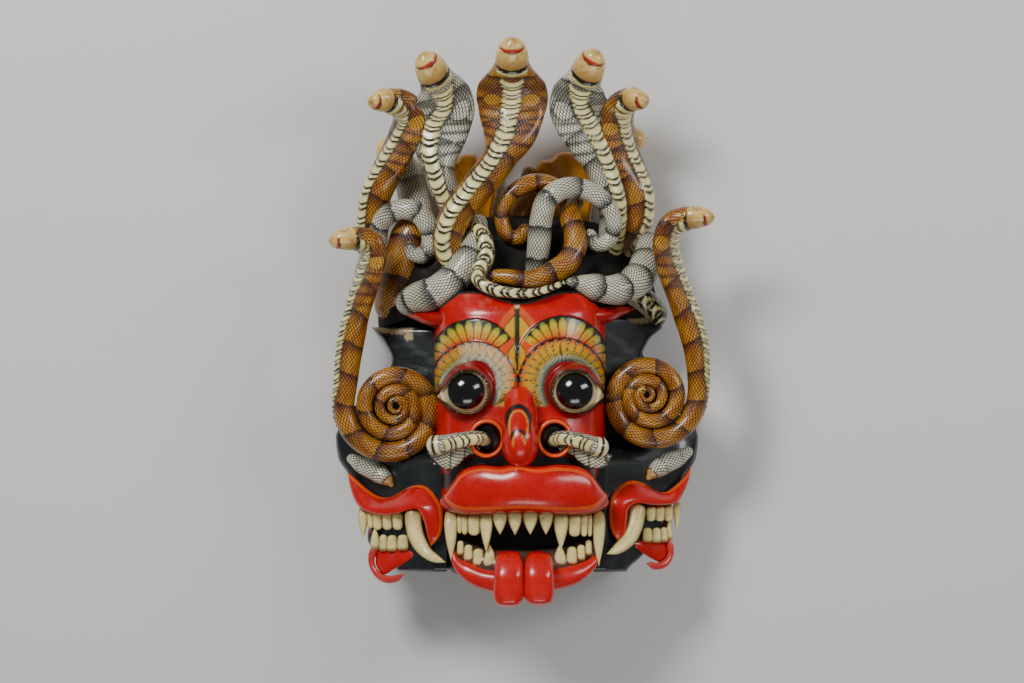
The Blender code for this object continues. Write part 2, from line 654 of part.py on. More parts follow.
def back_hoods():
    """The lobed hoods of the back row, flat leaves that stand behind the middle cobra."""
    made = []
    lobes = {"left_back_hood": (-52, 100, 30, 88), "right_back_hood": (46, 100, 33, 90)}
    for name, (x, y, half, height) in lobes.items():
        outline = [(-0.5, -0.2), (0.5, -0.2), (0.85, 0.35), (1, 0.7), (0.82, 0.9), (0.48, 0.93), (0.2, 1.0),
                   (-0.2, 1.0), (-0.48, 0.93), (-0.82, 0.9), (-1, 0.7), (-0.85, 0.35)]
        rings = [[(x + sx * half * shrink, y + sy * height, z) for sx, sy in outline]
                 for shrink, z in ((0.9, 10), (1.0, 16), (1.0, 24), (0.86, 31))]
        made.append(loft(name, np.array(rings), "ochre_scales"))
    return made


def ear_cobra(side):
    """The cobra of one ear: coiled in a spiral on the side face, with the neck rising beside the crown."""
    sign = -1 if side == "left" else 1
    cx, cy = EAR_CENTRES[0 if side == "left" else 1]
    seat = EAR_SEAT_HEIGHT / GRID
    radius, first_half, thinning, turns = (48, 11.0, 2.7, 3.0) if side == "left" else (46, 10.6, 2.6, 3.0)
    drift = 6.0
    spiral, sizes = [], []
    for k in range(int(turns * 12), -1, -1):
        t = k / 12
        r = radius - 2 * first_half * t + thinning * t * t
        half = first_half - thinning * t
        angle = math.pi + 2 * math.pi * t
        shift = drift * (1 - t / turns)
        lift = seat + 6 + 3.5 * t
        x = cx + sign * (-r * math.cos(angle) + shift)
        y = cy + r * math.sin(angle) - 0.5 * shift
        spiral.append((x, y, lift))
        sizes.append(half)
    neck = {
        "left": [(-174, -44, 8), (-171, -16, 9), (-166, 12, 11), (-159, 40, 13), (-151, 66, 16),
                 (-146, 87, 20), (-151, 98, 26), (-165, 101, 32), (-190, 98, 41)],
        "right": [(178, -36, 8), (175.5, -8, 9), (168, 20, 11), (158, 48, 13), (149, 76, 16), (146, 100, 20),
                  (152, 115, 26), (166, 121, 32), (193, 122, 41)],
    }[side]
    neck = [(x, y, seat + above) for x, y, above in neck]
    route = spiral + neck
    curve, along = smooth_route(route)
    length = along[-1]
    knots = along[::ROUTE_FINENESS][: len(spiral)] / length
    tail = [(float(s), max(h * 0.985, 1.4)) for s, h in zip(knots, sizes)]
    girth = [(s, h, h) for s, h in tail]
    girth += [s for s in cobra_girth(length, 13.5, 24, 0.92) if s[0] > girth[-1][0] + 0.05]
    turn = [(0, sign * -70), (girth[len(tail) - 1][0], sign * -80), (0.9, sign * -62), (1, sign * -72)]
    # one ring for each step of the spiral, then the neck and head
    made = spiral_sweep(f"{side}_ear", curve, along, knots, girth, turn)
    disc = cylinder(f"{side}_ear_disc", (cx + sign * 3, cy - 3), 38, seat + SEAM / GRID, seat + 8,
                    "ochre_scales", 20)
    combine(made, [disc], "UNION")
    thin_out(made, THINNED_EAR)
    below = box(f"{side}_ear_seat", (cx - CUT_REACH, cy - CUT_REACH, -CUT_DEPTH),
                (cx + CUT_REACH, cy + CUT_REACH, seat + SEAM / GRID), "ochre_scales")
    beside = block_relief("ear_clearance", 0, SEAM / GRID, -CUT_DEPTH, 0, RELIEF_COLUMNS, RELIEF_ROWS,
                          "ochre_scales")
    combine(made, [below, beside], "DIFFERENCE")
    return made


def spiral_sweep(name, curve, along, knots, girth, turn):
    total = along[-1]
    neck = 1 - np.array([0.0, 4, 10, 20, 31, 41, 52, 68, 86, 108, 132, 156, 180]) / total
    shares = np.array(list(knots) + [s for s in reversed(neck) if s > knots[-1] + 0.01])
    centre = places_along(curve, along, shares * total)
    ahead = places_along(curve, along, shares * total + 1)
    behind = places_along(curve, along, shares * total - 1)
    rings = []
    for c, tangent, (wide, deep), twist in zip(
        centre, ahead - behind, ease(girth, shares), np.radians(ease(turn, shares)[:, 0])
    ):
        front, across = section_axes(tangent, twist)
        for k in range(8):
            angle = 2 * math.pi * k / 8
            rings.append(c + front * deep * math.cos(angle) + across * wide * math.sin(angle))
    return loft(name, np.array(rings).reshape(len(shares), 8, 3), "ochre_scales")


def nostril_cobras():
    """The small cobras that come out of the nostrils of the main face and of the two side faces."""
    made = []
    root = 0.55 * NOSTRIL_RADIUS / GRID
    for sign, (x, y) in zip((-1, 1), NOSTRIL_CENTRES):
        floor = NOSTRIL_FRONT - NOSTRIL_DEPTH / GRID
        route = [(x, y - 2, floor - 7), (x + sign * 4, y - 2, NOSTRIL_FRONT - 6),
                 (x + sign * 18, y - 1, NOSTRIL_FRONT + 4), (x + sign * 36, y - 4, NOSTRIL_FRONT - 2),
                 (x + sign * 58, y - 9, NOSTRIL_FRONT - 14)]
        made.append(sweep(f"nostril_cobra_{sign}", route,
                          [(0, root, root), (0.3, 8, 8), (0.55, 15, 8.5), (0.75, 13, 9.5), (0.9, 11, 9.5),
                           (1, 4, 4)],
                          "lacquer_red", [(0, 0), (1, sign * 20)], 13, 8))
        low = -120 if sign < 0 else -113
        side_places = [(172, low + 2, 1), (158, low - 6, 4), (144, low - 12, 5), (133, low - 20, 4),
                       (127, low - 27, 1)]
        side_route = [(sign * sx, sy, side_height(sx, sy, 0) + lift) for sx, sy, lift in side_places]
        made.append(sweep(f"side_nostril_cobra_{sign}", side_route,
                          [(0, 7, 6), (0.35, 11, 9), (0.65, 12, 10), (0.85, 8, 8), (1, 2, 2)],
                          "lacquer_red", [(0, 0), (1, 0)], 14, 7))
    return made


def build_head():
    """The head block with everything carved on it, hollow behind and open through the mouth."""
    head = block_relief("mask_head", 0, 0, 0, 0, RELIEF_COLUMNS, RELIEF_ROWS, "lacquer_red")
    bosses = [
        cylinder(f"ear_boss_{k}", centre, EAR_BOSS_RADIUS / GRID, BOSS_ROOT, EAR_SEAT_HEIGHT / GRID,
                 "lacquer_red", 20)
        for k, centre in enumerate(EAR_CENTRES)
    ]
    wings, bores = nostril_wings()
    combine(head, [*bosses, *eyeballs(), nose(), *wings, *brow_horns(0)], "UNION")
    mouth = box("mouth", (*MOUTH_LOW, MOUTH_FLOOR), (*MOUTH_HIGH, MOUTH_ROOF), "lacquer_red")
    wall = WALL / GRID
    hollow = block_relief("hollow", wall, 0, -CUT_DEPTH, wall + SHOULDER_DROP, HOLLOW_COLUMNS, HOLLOW_ROWS,
                          "lacquer_red", brows=False)
    combine(head, [mouth, hollow], "DIFFERENCE")
    combine(head, lips() + main_teeth() + side_mouth("left") + side_mouth("right"), "UNION")
    combine(head, bores, "DIFFERENCE")
    combine(head, nostril_cobras(), "UNION")
    thin_out(head, THINNED)
    return head


def build_crown():
    """The crown of cobras, one carving, with the head block's form cut out of its underside."""
    crown = crown_block()
    crown.name = "cobra_crown"
    combine(crown, back_hoods() + crown_cobras() + crown_coils(), "UNION")
    thin_out(crown, THINNED)
    gap = SEAM / GRID
    seat = block_relief("crown_seat", 0, gap, -CUT_DEPTH, 0, RELIEF_COLUMNS, RELIEF_ROWS, "ochre_scales")
    floor = box("floor_cut", (-CUT_REACH, -CUT_REACH, -CUT_DEPTH), (CUT_REACH, CUT_REACH, 0), "ochre_scales")
    combine(crown, [seat, floor, *brow_horns(1.6 * gap)], "DIFFERENCE")
    return crown


def centre_on_origin(objects):
    """Moves the mask so that the middle of its box is over the origin and its back lies on the ground."""
    bpy.context.view_layer.update()
    corners = np.array([v.co for o in objects for v in o.data.vertices])
    middle = (corners.min(0) + corners.max(0)) / 2
    shift = Vector((-middle[0], -middle[1], -corners[:, 2].min()))
    print("grid origin in the mask's frame, mm:", [round(1000 * c, 2) for c in shift])
    for obj in objects:
        obj.data.transform(Matrix.Translation(shift))


def finish(obj):
    """Flat spots merged and the faces shaded smooth across shallow edges."""
    obj.data.shade_smooth()
    obj.data.set_sharp_from_angle(angle=math.radians(40))


def main():
    for old in list(bpy.data.objects):
        bpy.data.objects.remove(old)
    head = build_head()
    crown = build_crown()
    left = ear_cobra("left")
    left.name = "left_ear_cobra"
    right = ear_cobra("right")
    right.name = "right_ear_cobra"
    pieces = [head, crown, left, right]
    centre_on_origin(pieces)
    for piece in pieces:
        finish(piece)


main()
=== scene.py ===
# %% [markdown]
# Cobra demon mask
#
# A large mask, carved from light wood and painted in gloss colours. It lies on its back and the camera
# looks straight down on it. The frame holds the solids of the four carved blocks; this script dresses
# each of them in finer carving and in paint. All work is laid out on the carver's grid of the mask, in
# millimetres: X to the right, Y up to the crown, Z out of the face.

# %% Load the frame
import math

import bmesh
import bpy
import numpy as np
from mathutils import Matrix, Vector


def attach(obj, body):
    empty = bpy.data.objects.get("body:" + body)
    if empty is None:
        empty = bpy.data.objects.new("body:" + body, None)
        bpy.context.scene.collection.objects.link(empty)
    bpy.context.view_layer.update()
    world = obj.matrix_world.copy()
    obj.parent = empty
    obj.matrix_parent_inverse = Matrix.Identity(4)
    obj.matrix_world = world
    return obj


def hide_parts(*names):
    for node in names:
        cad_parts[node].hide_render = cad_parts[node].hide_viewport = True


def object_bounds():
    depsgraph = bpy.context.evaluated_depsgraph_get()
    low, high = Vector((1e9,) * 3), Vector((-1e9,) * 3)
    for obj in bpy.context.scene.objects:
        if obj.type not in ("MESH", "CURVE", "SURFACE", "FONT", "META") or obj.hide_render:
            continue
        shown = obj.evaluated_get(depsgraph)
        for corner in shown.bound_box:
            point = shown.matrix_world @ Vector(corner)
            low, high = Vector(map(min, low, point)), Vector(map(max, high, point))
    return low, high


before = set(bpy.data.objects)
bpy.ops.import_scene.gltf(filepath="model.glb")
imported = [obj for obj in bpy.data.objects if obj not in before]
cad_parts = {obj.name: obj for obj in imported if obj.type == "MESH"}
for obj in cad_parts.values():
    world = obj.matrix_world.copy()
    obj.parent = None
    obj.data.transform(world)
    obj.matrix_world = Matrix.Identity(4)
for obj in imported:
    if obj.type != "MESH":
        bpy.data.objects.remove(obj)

CAD_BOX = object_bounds()
GRID_MIDDLE = np.array([-1.44, -19.19, 0.0])
MM = 0.001
print("box of the solids, m:", [list(corner) for corner in CAD_BOX])

# %% [markdown]
# The photograph is taken straight from the front, with a long lens: a camera five metres above the mask
# sees its front pieces only a little larger than its back ones. `seen` turns places in the photograph, in
# pixels, and heights above the ground into places on the grid, so that a form lies where the photograph
# shows it.

# %% Camera, floor and lights
CAMERA_HEIGHT = 5.0
CAMERA_AT = np.array([-8.0, -1.5])
SCALE_HEIGHT = 90.0
FRAME_WIDTH = 1.024
SENSOR_WIDTH = 36
GRID_PIXEL = np.array([520.0, 340.0])


def seen(px, py, z):
    """The places on the grid that show at pixels of the photograph and lie at the heights z."""
    flat = np.stack([px - GRID_PIXEL[0], GRID_PIXEL[1] - py], -1)
    away = (CAMERA_HEIGHT / MM - np.asarray(z, float)) / (CAMERA_HEIGHT / MM - SCALE_HEIGHT)
    return CAMERA_AT + (flat - CAMERA_AT) * away[..., None]


def add_camera():
    data = bpy.data.cameras.new("camera")
    data.sensor_width = SENSOR_WIDTH
    data.lens = SENSOR_WIDTH * (CAMERA_HEIGHT - SCALE_HEIGHT * MM) / FRAME_WIDTH
    data.clip_end = 50
    camera = bpy.data.objects.new("camera", data)
    bpy.context.scene.collection.objects.link(camera)
    x, y = (CAMERA_AT + GRID_MIDDLE[:2]) * MM
    camera.location = (x, y, CAMERA_HEIGHT)
    bpy.context.scene.camera = camera


def add_light(name, place, size, watts, colour=(1, 1, 1)):
    data = bpy.data.lights.new(name, "AREA")
    data.shape = "RECTANGLE"
    data.size, data.size_y = size
    data.energy = watts
    data.color = colour
    light = bpy.data.objects.new(name, data)
    light.location = place
    light.rotation_euler = (-Vector(place)).to_track_quat("-Z", "Y").to_euler()
    bpy.context.scene.collection.objects.link(light)


def add_floor():
    bpy.ops.object.select_all(action="DESELECT")
    bpy.ops.mesh.primitive_plane_add(size=60)
    floor = bpy.context.object
    floor.name = "floor"
    made = bpy.data.materials.new("pale_matt_paper")
    made.use_nodes = True
    shader = made.node_tree.nodes["Principled BSDF"]
    shader.inputs["Base Color"].default_value = (0.80, 0.79, 0.77, 1)
    shader.inputs["Roughness"].default_value = 0.9
    floor.data.materials.append(made)


def add_world():
    world = bpy.data.worlds.new("studio")
    world.use_nodes = True
    world.node_tree.nodes["Background"].inputs["Color"].default_value = (1, 1, 1, 1)
    world.node_tree.nodes["Background"].inputs["Strength"].default_value = 0.16
    bpy.context.scene.world = world


add_camera()
add_floor()
add_world()
add_light("key_softbox", (-0.9, 1.1, 1.7), (0.7, 0.5), 34)
add_light("right_softbox", (1.3, 0.5, 1.2), (0.4, 0.9), 10)
add_light("low_fill", (0.1, -1.6, 1.4), (1.2, 0.5), 8)
print("camera, floor, world and three soft lights")

# %% [markdown]
# Curves with eased sizes carry everything that is long and round on this mask: cobras, lips, tongue and
# teeth. `smooth_route` is a Catmull-Rom curve through a few points, and `ease` runs sizes smoothly from
# one station to the next, without bulging past them.

# %% Curves and eased sizes
ROUTE_FINENESS = 24


def ease(stations, at):
    """Smooth values between stations (place, value, ...), with no overshoot."""
    place = np.array([s[0] for s in stations], float)
    value = np.array([s[1:] for s in stations], float)
    step = np.diff(place)[:, None]
    rise = np.diff(value, axis=0) / step
    slope = np.zeros_like(value)
    same_way = rise[1:] * rise[:-1] > 0
    mean = 2 * rise[1:] * rise[:-1] / np.where(same_way, rise[1:] + rise[:-1], 1)
    slope[1:-1] = np.where(same_way, mean, 0)
    at = np.clip(np.atleast_1d(np.asarray(at, float)), place[0], place[-1])
    i = np.clip(np.searchsorted(place, at, side="right") - 1, 0, len(place) - 2)
    h = step[i]
    t = (at - place[i])[:, None] / h
    return (
        (2 * t**3 - 3 * t**2 + 1) * value[i]
        + (t**3 - 2 * t**2 + t) * h * slope[i]
        + (3 * t**2 - 2 * t**3) * value[i + 1]
        + (t**3 - t**2) * h * slope[i + 1]
    )


def smooth_route(points, fineness=ROUTE_FINENESS):
    """A Catmull-Rom curve through the points, and its length from the start at each of its places."""
    p = np.array(points, float)
    p = np.vstack([2 * p[0] - p[1], p, 2 * p[-1] - p[-2]])
    knots = np.concatenate([[0], np.cumsum(np.linalg.norm(np.diff(p, axis=0), axis=1) ** 0.5)])
    curve = []
    for k in range(1, len(p) - 2):
        t0, t1, t2, t3 = knots[k - 1 : k + 3]
        for t in np.linspace(t1, t2, fineness, endpoint=k == len(p) - 3):
            a1 = (t1 - t) / (t1 - t0) * p[k - 1] + (t - t0) / (t1 - t0) * p[k]
            a2 = (t2 - t) / (t2 - t1) * p[k] + (t - t1) / (t2 - t1) * p[k + 1]
            a3 = (t3 - t) / (t3 - t2) * p[k + 1] + (t - t2) / (t3 - t2) * p[k + 2]
            b1 = (t2 - t) / (t2 - t0) * a1 + (t - t0) / (t2 - t0) * a2
            b2 = (t3 - t) / (t3 - t1) * a2 + (t - t1) / (t3 - t1) * a3
            curve.append((t2 - t) / (t2 - t1) * b1 + (t - t1) / (t2 - t1) * b2)
    curve = np.array(curve)
    along = np.concatenate([[0], np.cumsum(np.linalg.norm(np.diff(curve, axis=0), axis=1))])
    return curve, along


def blend(low, high, value):
    """0 below low, 1 above high, and smooth between them."""
    t = np.clip((value - low) / (high - low), 0, 1)
    return t * t * (3 - 2 * t)


def soft_max(a, b, width):
    """The larger of two heights, with a fillet of about that width where they meet."""
    h = np.clip(0.5 + 0.5 * (a - b) / width, 0, 1)
    return b + (a - b) * h + width * h * (1 - h)


# %% [markdown]
# Every carved form starts as a grid primitive. Its points are moved onto the form, row by row and column
# by column. A sheet that is rolled round into a tube closes on itself when its doubles are merged. The
# grid also gives each form a UV map, here in millimetres along and across it, for scales that keep one
# size everywhere. The paint is worked out at each point and kept in a colour attribute of the mesh.

# %% A sheet of points becomes a piece
BOX_MARGIN = 0.05
GROUND_GAP = 0.3


def to_world(points):
    """Grid millimetres to the frame's metres, held inside the box of the solids."""
    low = np.array(CAD_BOX[0]) + BOX_MARGIN * MM
    high = np.array(CAD_BOX[1]) - BOX_MARGIN * MM
    return np.clip((points + GRID_MIDDLE) * MM, low, high)


def sheet(name, points, skin=None, **marks):
    """A grid primitive whose points lie at `points`, rows by columns. Marks are values for each point."""
    rows, columns = points.shape[:2]
    bpy.ops.object.select_all(action="DESELECT")
    bpy.ops.mesh.primitive_grid_add(x_subdivisions=rows - 1, y_subdivisions=columns - 1, size=1)
    obj = bpy.context.object
    obj.name = name
    mesh = obj.data
    flat = np.empty(len(mesh.vertices) * 3)
    mesh.vertices.foreach_get("co", flat)
    flat = flat.reshape(-1, 3)
    row = np.rint((flat[:, 0] + 0.5) * (rows - 1)).astype(int)
    column = np.rint((flat[:, 1] + 0.5) * (columns - 1)).astype(int)
    mesh.vertices.foreach_set("co", to_world(points[row, column]).ravel())
    for mark, values in marks.items():
        colour = values.ndim == 3
        layer = mesh.attributes.new(mark, "FLOAT_COLOR" if colour else "FLOAT", "POINT")
        picked = values[row, column]
        if colour:
            picked = np.hstack([picked, np.ones((len(picked), 1))])
        layer.data.foreach_set("color" if colour else "value", picked.ravel())
    if skin is not None:
        corner = np.empty(len(mesh.loops), int)
        mesh.loops.foreach_get("vertex_index", corner)
        mesh.uv_layers[0].data.foreach_set("uv", skin[row[corner], column[corner]].ravel())
    mesh.update()
    return obj


def select_only(obj):
    bpy.ops.object.select_all(action="DESELECT")
    bpy.context.view_layer.objects.active = obj
    obj.select_set(True)


def close_up(obj):
    """Merges the seam and the poles of a rolled sheet and turns its faces outwards."""
    select_only(obj)
    bpy.ops.object.mode_set(mode="EDIT")
    bpy.ops.mesh.select_all(action="SELECT")
    bpy.ops.mesh.remove_doubles(threshold=0.000004)
    bpy.ops.mesh.normals_make_consistent(inside=False)
    bpy.ops.object.mode_set(mode="OBJECT")
    bpy.ops.object.shade_smooth()


MADE = []


def hand_in(obj, material, slot, *nodes):
    """Gives a piece its paint, and lets it stand for the solids that it covers. The slot is not used."""
    obj.data.materials.clear()
    obj.data.materials.append(material)
    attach(obj, "root")
    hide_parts(*nodes)
    MADE.append(obj)
    return obj


# %% [markdown]
# Colours are written as sRGB hex values and turned linear by one function. A paint layer is laid over
# another with a mask between 0 and 1, as with a brush and a stencil.

# %% Colours and brushwork
def linear(code):
    """An sRGB hex colour as linear RGB."""
    parts = np.array([int(code[i : i + 2], 16) / 255 for i in (1, 3, 5)])
    return np.where(parts <= 0.04045, parts / 12.92, ((parts + 0.055) / 1.055) ** 2.4)


def ground(shape, code):
    """A coat of one colour over an array of points."""
    return np.zeros((*shape, 3)) + linear(code)


def brush(coat, mask, code):
    """Lays a colour, given as a hex code or point by point, over a coat where the mask is 1."""
    colour = linear(code) if isinstance(code, str) else code
    mask = np.clip(mask, 0, 1)[..., None]
    return coat * (1 - mask) + colour * mask


def line_at(distance, width, edge=0.5):
    """A painted line of that width in millimetres, where the distance is 0."""
    return 1 - blend(width / 2 - edge / 2, width / 2 + edge / 2, np.abs(distance))


def inside(distance, edge=0.6):
    """1 where the signed distance is negative."""
    return 1 - blend(-edge / 2, edge / 2, distance)


def wobble(a, b, seed=0.0):
    """Smooth uneven values around 0, from a few waves, for a hand's unevenness."""
    return (
        np.sin(a * 0.13 + 1.7 * np.sin(b * 0.11 + seed) + seed)
        + 0.6 * np.sin(a * 0.31 - b * 0.27 + 2.1 * seed + 1.3)
        + 0.4 * np.sin(a * 0.07 + b * 0.53 + 0.7 * seed)
    ) / 2

# %% [markdown]
# The real mask is carved from one light, soft wood, primed pale, painted in gloss enamel and varnished. A
# clear coat over the colour gives the sharp highlights. Under it the colour is a little uneven, specks of
# age are brown, and where the paint is worn through the wood shows pale. The marks of brush and chisel
# are a fine bump, about two millimetres apart, over a broad one of about two centimetres.

# %% A node with its settings, and enamel on wood
BARE_WOOD = "#C9A77A"
SPECK_BROWN = "#5A3A1C"


def node(tree, kind, **settings):
    """Adds a shader node. A setting is the node's own, or a value or a link for the socket it names."""
    made = tree.nodes.new("ShaderNode" + kind)
    for name, value in settings.items():
        if hasattr(made, name):
            setattr(made, name, value)
    for name, value in settings.items():
        if hasattr(made, name):
            continue
        key = int(name[1:]) if name[0] == "i" and name[1:].isdigit() else name.replace("_", " ")
        socket = made.inputs[key]
        if isinstance(value, bpy.types.NodeSocket):
            tree.links.new(value, socket)
        else:
            socket.default_value = value
    return made


def new_material(name):
    made = bpy.data.materials.new(name)
    made.use_nodes = True
    return made, made.node_tree, made.node_tree.nodes["Principled BSDF"]


def enamel_on_wood(name, roughness, coat, unevenness, worn=0.0, specks=0.0):
    """Gloss enamel over carved wood. It reads the colour attribute called paint."""
    made, tree, shader = new_material(name)
    place = node(tree, "TexCoord").outputs["Object"]
    paint = node(tree, "Attribute", attribute_name="paint").outputs["Color"]
    cloud = node(tree, "TexNoise", Vector=place, Scale=55.0, Detail=5.0, Roughness=0.6).outputs["Fac"]
    fine = node(tree, "TexNoise", Vector=place, Scale=420.0, Detail=3.0, Roughness=0.6).outputs["Fac"]
    shade = node(tree, "MapRange", Value=cloud, From_Min=0.3, From_Max=0.7,
                 To_Min=1 - unevenness, To_Max=1 + 0.5 * unevenness).outputs["Result"]
    toned = node(tree, "VectorMath", operation="SCALE", i0=paint, Scale=shade).outputs["Vector"]
    spot = node(tree, "TexNoise", Vector=place, Scale=260.0, Detail=2.0, Roughness=0.5).outputs["Fac"]
    speck = node(tree, "MapRange", Value=spot, From_Min=0.66, From_Max=0.72, To_Min=0.0, To_Max=specks)
    dotted = node(tree, "Mix", data_type="RGBA", i0=speck.outputs["Result"], i6=toned,
                  i7=(*linear(SPECK_BROWN), 1)).outputs[2]
    chip = node(tree, "TexNoise", Vector=place, Scale=95.0, Detail=6.0, Roughness=0.7).outputs["Fac"]
    bare = node(tree, "MapRange", Value=chip, From_Min=0.70, From_Max=0.73, To_Min=0.0, To_Max=worn)
    colour = node(tree, "Mix", data_type="RGBA", i0=bare.outputs["Result"], i6=dotted,
                  i7=(*linear(BARE_WOOD), 1)).outputs[2]
    tree.links.new(colour, shader.inputs["Base Color"])
    dull = node(tree, "MapRange", Value=cloud, From_Min=0.25, From_Max=0.8,
                To_Min=roughness * 0.7, To_Max=roughness * 1.5).outputs["Result"]
    tree.links.new(dull, shader.inputs["Roughness"])
    bump = node(tree, "Bump", Strength=0.25, Distance=0.0004, Height=fine).outputs["Normal"]
    broad = node(tree, "Bump", Strength=0.35, Distance=0.0012, Height=cloud, Normal=bump).outputs["Normal"]
    tree.links.new(broad, shader.inputs["Normal"])
    shader.inputs["IOR"].default_value = 1.5
    shader.inputs["Coat Weight"].default_value = coat
    shader.inputs["Coat Roughness"].default_value = 0.12
    return made


# %% [markdown]
# A cobra's scales are a net of fine dark lines, painted and lightly cut, that cross at an angle to the
# body. On the real mask a scale is about 3.4 mm across and 5.4 mm long. The UV map holds millimetres, so
# two sets of slanted lines come from one sum and one difference. The mark called scaly says where the net
# is painted.

# %% The scaly paint
SCALE_ACROSS = 3.4
SCALE_LONG = 5.4
NET_LINE = 0.71
NET_EDGE = 0.08


def scale_net(tree):
    """How near a point is to a line of the net, 0 in the middle of a scale and 1 on a line."""
    skin = node(tree, "SeparateXYZ", Vector=node(tree, "UVMap").outputs["UV"])
    long = node(tree, "Math", operation="DIVIDE", i0=skin.outputs["X"], i1=SCALE_LONG).outputs[0]
    across = node(tree, "Math", operation="DIVIDE", i0=skin.outputs["Y"], i1=SCALE_ACROSS).outputs[0]
    lines = []
    for operation in ("ADD", "SUBTRACT"):
        slant = node(tree, "Math", operation=operation, i0=long, i1=across).outputs[0]
        share = node(tree, "Math", operation="FRACT", i0=slant).outputs[0]
        off = node(tree, "Math", operation="SUBTRACT", i0=share, i1=0.5).outputs[0]
        away = node(tree, "Math", operation="ABSOLUTE", i0=off).outputs[0]
        lines.append(node(tree, "Math", operation="MULTIPLY", i0=away, i1=2.0).outputs[0])
    return node(tree, "Math", operation="MAXIMUM", i0=lines[0], i1=lines[1]).outputs[0]


def scaly_enamel(name, ink, strength):
    """The snakes' paint: the colour attribute, with the net of scales in dark ink where it is scaly."""
    made = enamel_on_wood(name, 0.3, 0.55, unevenness=0.2, specks=0.25)
    tree = made.node_tree
    shader = tree.nodes["Principled BSDF"]
    net = scale_net(tree)
    scaly = node(tree, "Attribute", attribute_name="scaly").outputs["Fac"]
    line = node(tree, "MapRange", Value=net, From_Min=NET_LINE - NET_EDGE, From_Max=NET_LINE + NET_EDGE,
                To_Min=0.0, To_Max=strength).outputs["Result"]
    inked = node(tree, "Math", operation="MULTIPLY", i0=line, i1=scaly).outputs[0]
    under = shader.inputs["Base Color"].links[0].from_socket
    colour = node(tree, "Mix", data_type="RGBA", i0=inked, i6=under, i7=(*linear(ink), 1)).outputs[2]
    tree.links.new(colour, shader.inputs["Base Color"])
    smooth = shader.inputs["Normal"].links[0].from_socket
    dome = node(tree, "Math", operation="POWER", i0=net, i1=3.0).outputs[0]
    hollow = node(tree, "Math", operation="MULTIPLY", i0=dome, i1=scaly).outputs[0]
    cut = node(tree, "Bump", Strength=0.5, Distance=0.0005, Height=hollow, Normal=smooth, invert=True)
    tree.links.new(cut.outputs["Normal"], shader.inputs["Normal"])
    return made


# %% [markdown]
# The snakes have the scaly enamel, with brown ink on ochre and black ink on the pale ones. The face's red
# enamel is smooth and even, with sharp lights. The slate black beside it is patchy and a little worn. The
# teeth are a softer ivory with brown specks of age. The foot behind the coils is wood with a dark stain
# and the hollow is raw wood, both dull.

# %% The finishes
OCHRE = scaly_enamel("ochre_scale_enamel", "#200B02", 0.92)
SILVER = scaly_enamel("pale_scale_enamel", "#060504", 0.95)
STAINED = enamel_on_wood("dark_stained_wood", 0.8, 0.0, unevenness=0.5)
RED = enamel_on_wood("red_gloss_enamel", 0.28, 0.4, unevenness=0.12, specks=0.1)
DARK = enamel_on_wood("slate_black_enamel", 0.32, 0.5, unevenness=0.4, worn=0.15)
IVORY = enamel_on_wood("ivory_tooth_enamel", 0.38, 0.35, unevenness=0.18, specks=0.6)
RAW = enamel_on_wood("raw_light_wood", 0.7, 0.0, unevenness=0.3, specks=0.3)
SKINS = {"ochre": OCHRE, "pale": SILVER}
print("materials:", [m.name for m in (OCHRE, SILVER, STAINED, RED, DARK, IVORY, RAW)])

# %% [markdown]
# A cobra is one long tube whose section is round in the body and wide and flat in the hood. `tube` lays
# rings of points along a route. The columns of the sheet start at the back, run over the belly in the
# middle and come back round to the back, so that the seam is always on the side that lies down, and the
# belly's edge follows a column.

# %% A tube along a route
def tube(route, girth, turn=((0, 0), (1, 0)), belly_angle=((0, 0), (1, 0)), ring=1.4, sides=40, curve=None):
    """Rings along a route. Girth is (share, half width, half depth), the two angles are (share, degrees)."""
    curve, along = curve or smooth_route(route)
    total = along[-1]
    ends = [0.8 * float(ease(girth, share)[0].min()) for share in (0, 1)]
    steps = np.array([0, 0.06, 0.22, 0.5])
    body = np.linspace(ends[0], total - ends[1], max(4, int((total - sum(ends)) / ring)))
    length = np.concatenate([steps * ends[0], body, total - steps[::-1] * ends[1]])
    rounding = np.ones_like(length)
    for end, reach in ((length, ends[0]), (total - length, ends[1])):
        rounding *= np.sqrt(1 - (1 - np.clip(end / reach, 0, 1)) ** 2)

    def at(place):
        place = np.clip(place, 0, total)
        return np.stack([np.interp(place, along, curve[:, i]) for i in range(3)], 1)

    tangent = at(length + 1) - at(length - 1)
    tangent /= np.linalg.norm(tangent, axis=1)[:, None]
    front = np.array([0, 0, 1.0]) - tangent[:, 2:] * tangent
    front /= np.linalg.norm(front, axis=1)[:, None]
    across = np.cross(tangent, front)
    twist = np.radians(ease(turn, length / total))
    front, across = (front * np.cos(twist) - across * np.sin(twist),
                     across * np.cos(twist) + front * np.sin(twist))
    size = ease(girth, length / total) * rounding[:, None]
    around = np.pi * np.linspace(-1, 1, sides + 1)[None, :]
    angle = around + np.radians(ease(belly_angle, length / total))
    wide, deep = size[:, :1], size[:, 1:2]
    points = (at(length)[:, None] + front[:, None] * (deep * np.cos(angle))[..., None]
              + across[:, None] * (wide * np.sin(angle))[..., None])
    out = (front[:, None] * (wide * np.cos(angle))[..., None]
           + across[:, None] * (deep * np.sin(angle))[..., None])
    out /= np.linalg.norm(out, axis=2)[..., None] + 1e-9
    steps_round = np.linalg.norm(np.diff(points, axis=1), axis=2)
    side = np.concatenate([np.zeros((len(length), 1)), np.cumsum(steps_round, axis=1)], axis=1)
    side -= side[:, sides // 2 : sides // 2 + 1]
    length = np.repeat(length[:, None], sides + 1, axis=1)
    return dict(points=points, out=out, length=length, left=total - length, total=total,
                around=np.repeat(around, len(length), axis=0), side=side,
                wide=np.repeat(wide, sides + 1, 1), deep=np.repeat(deep, sides + 1, 1))


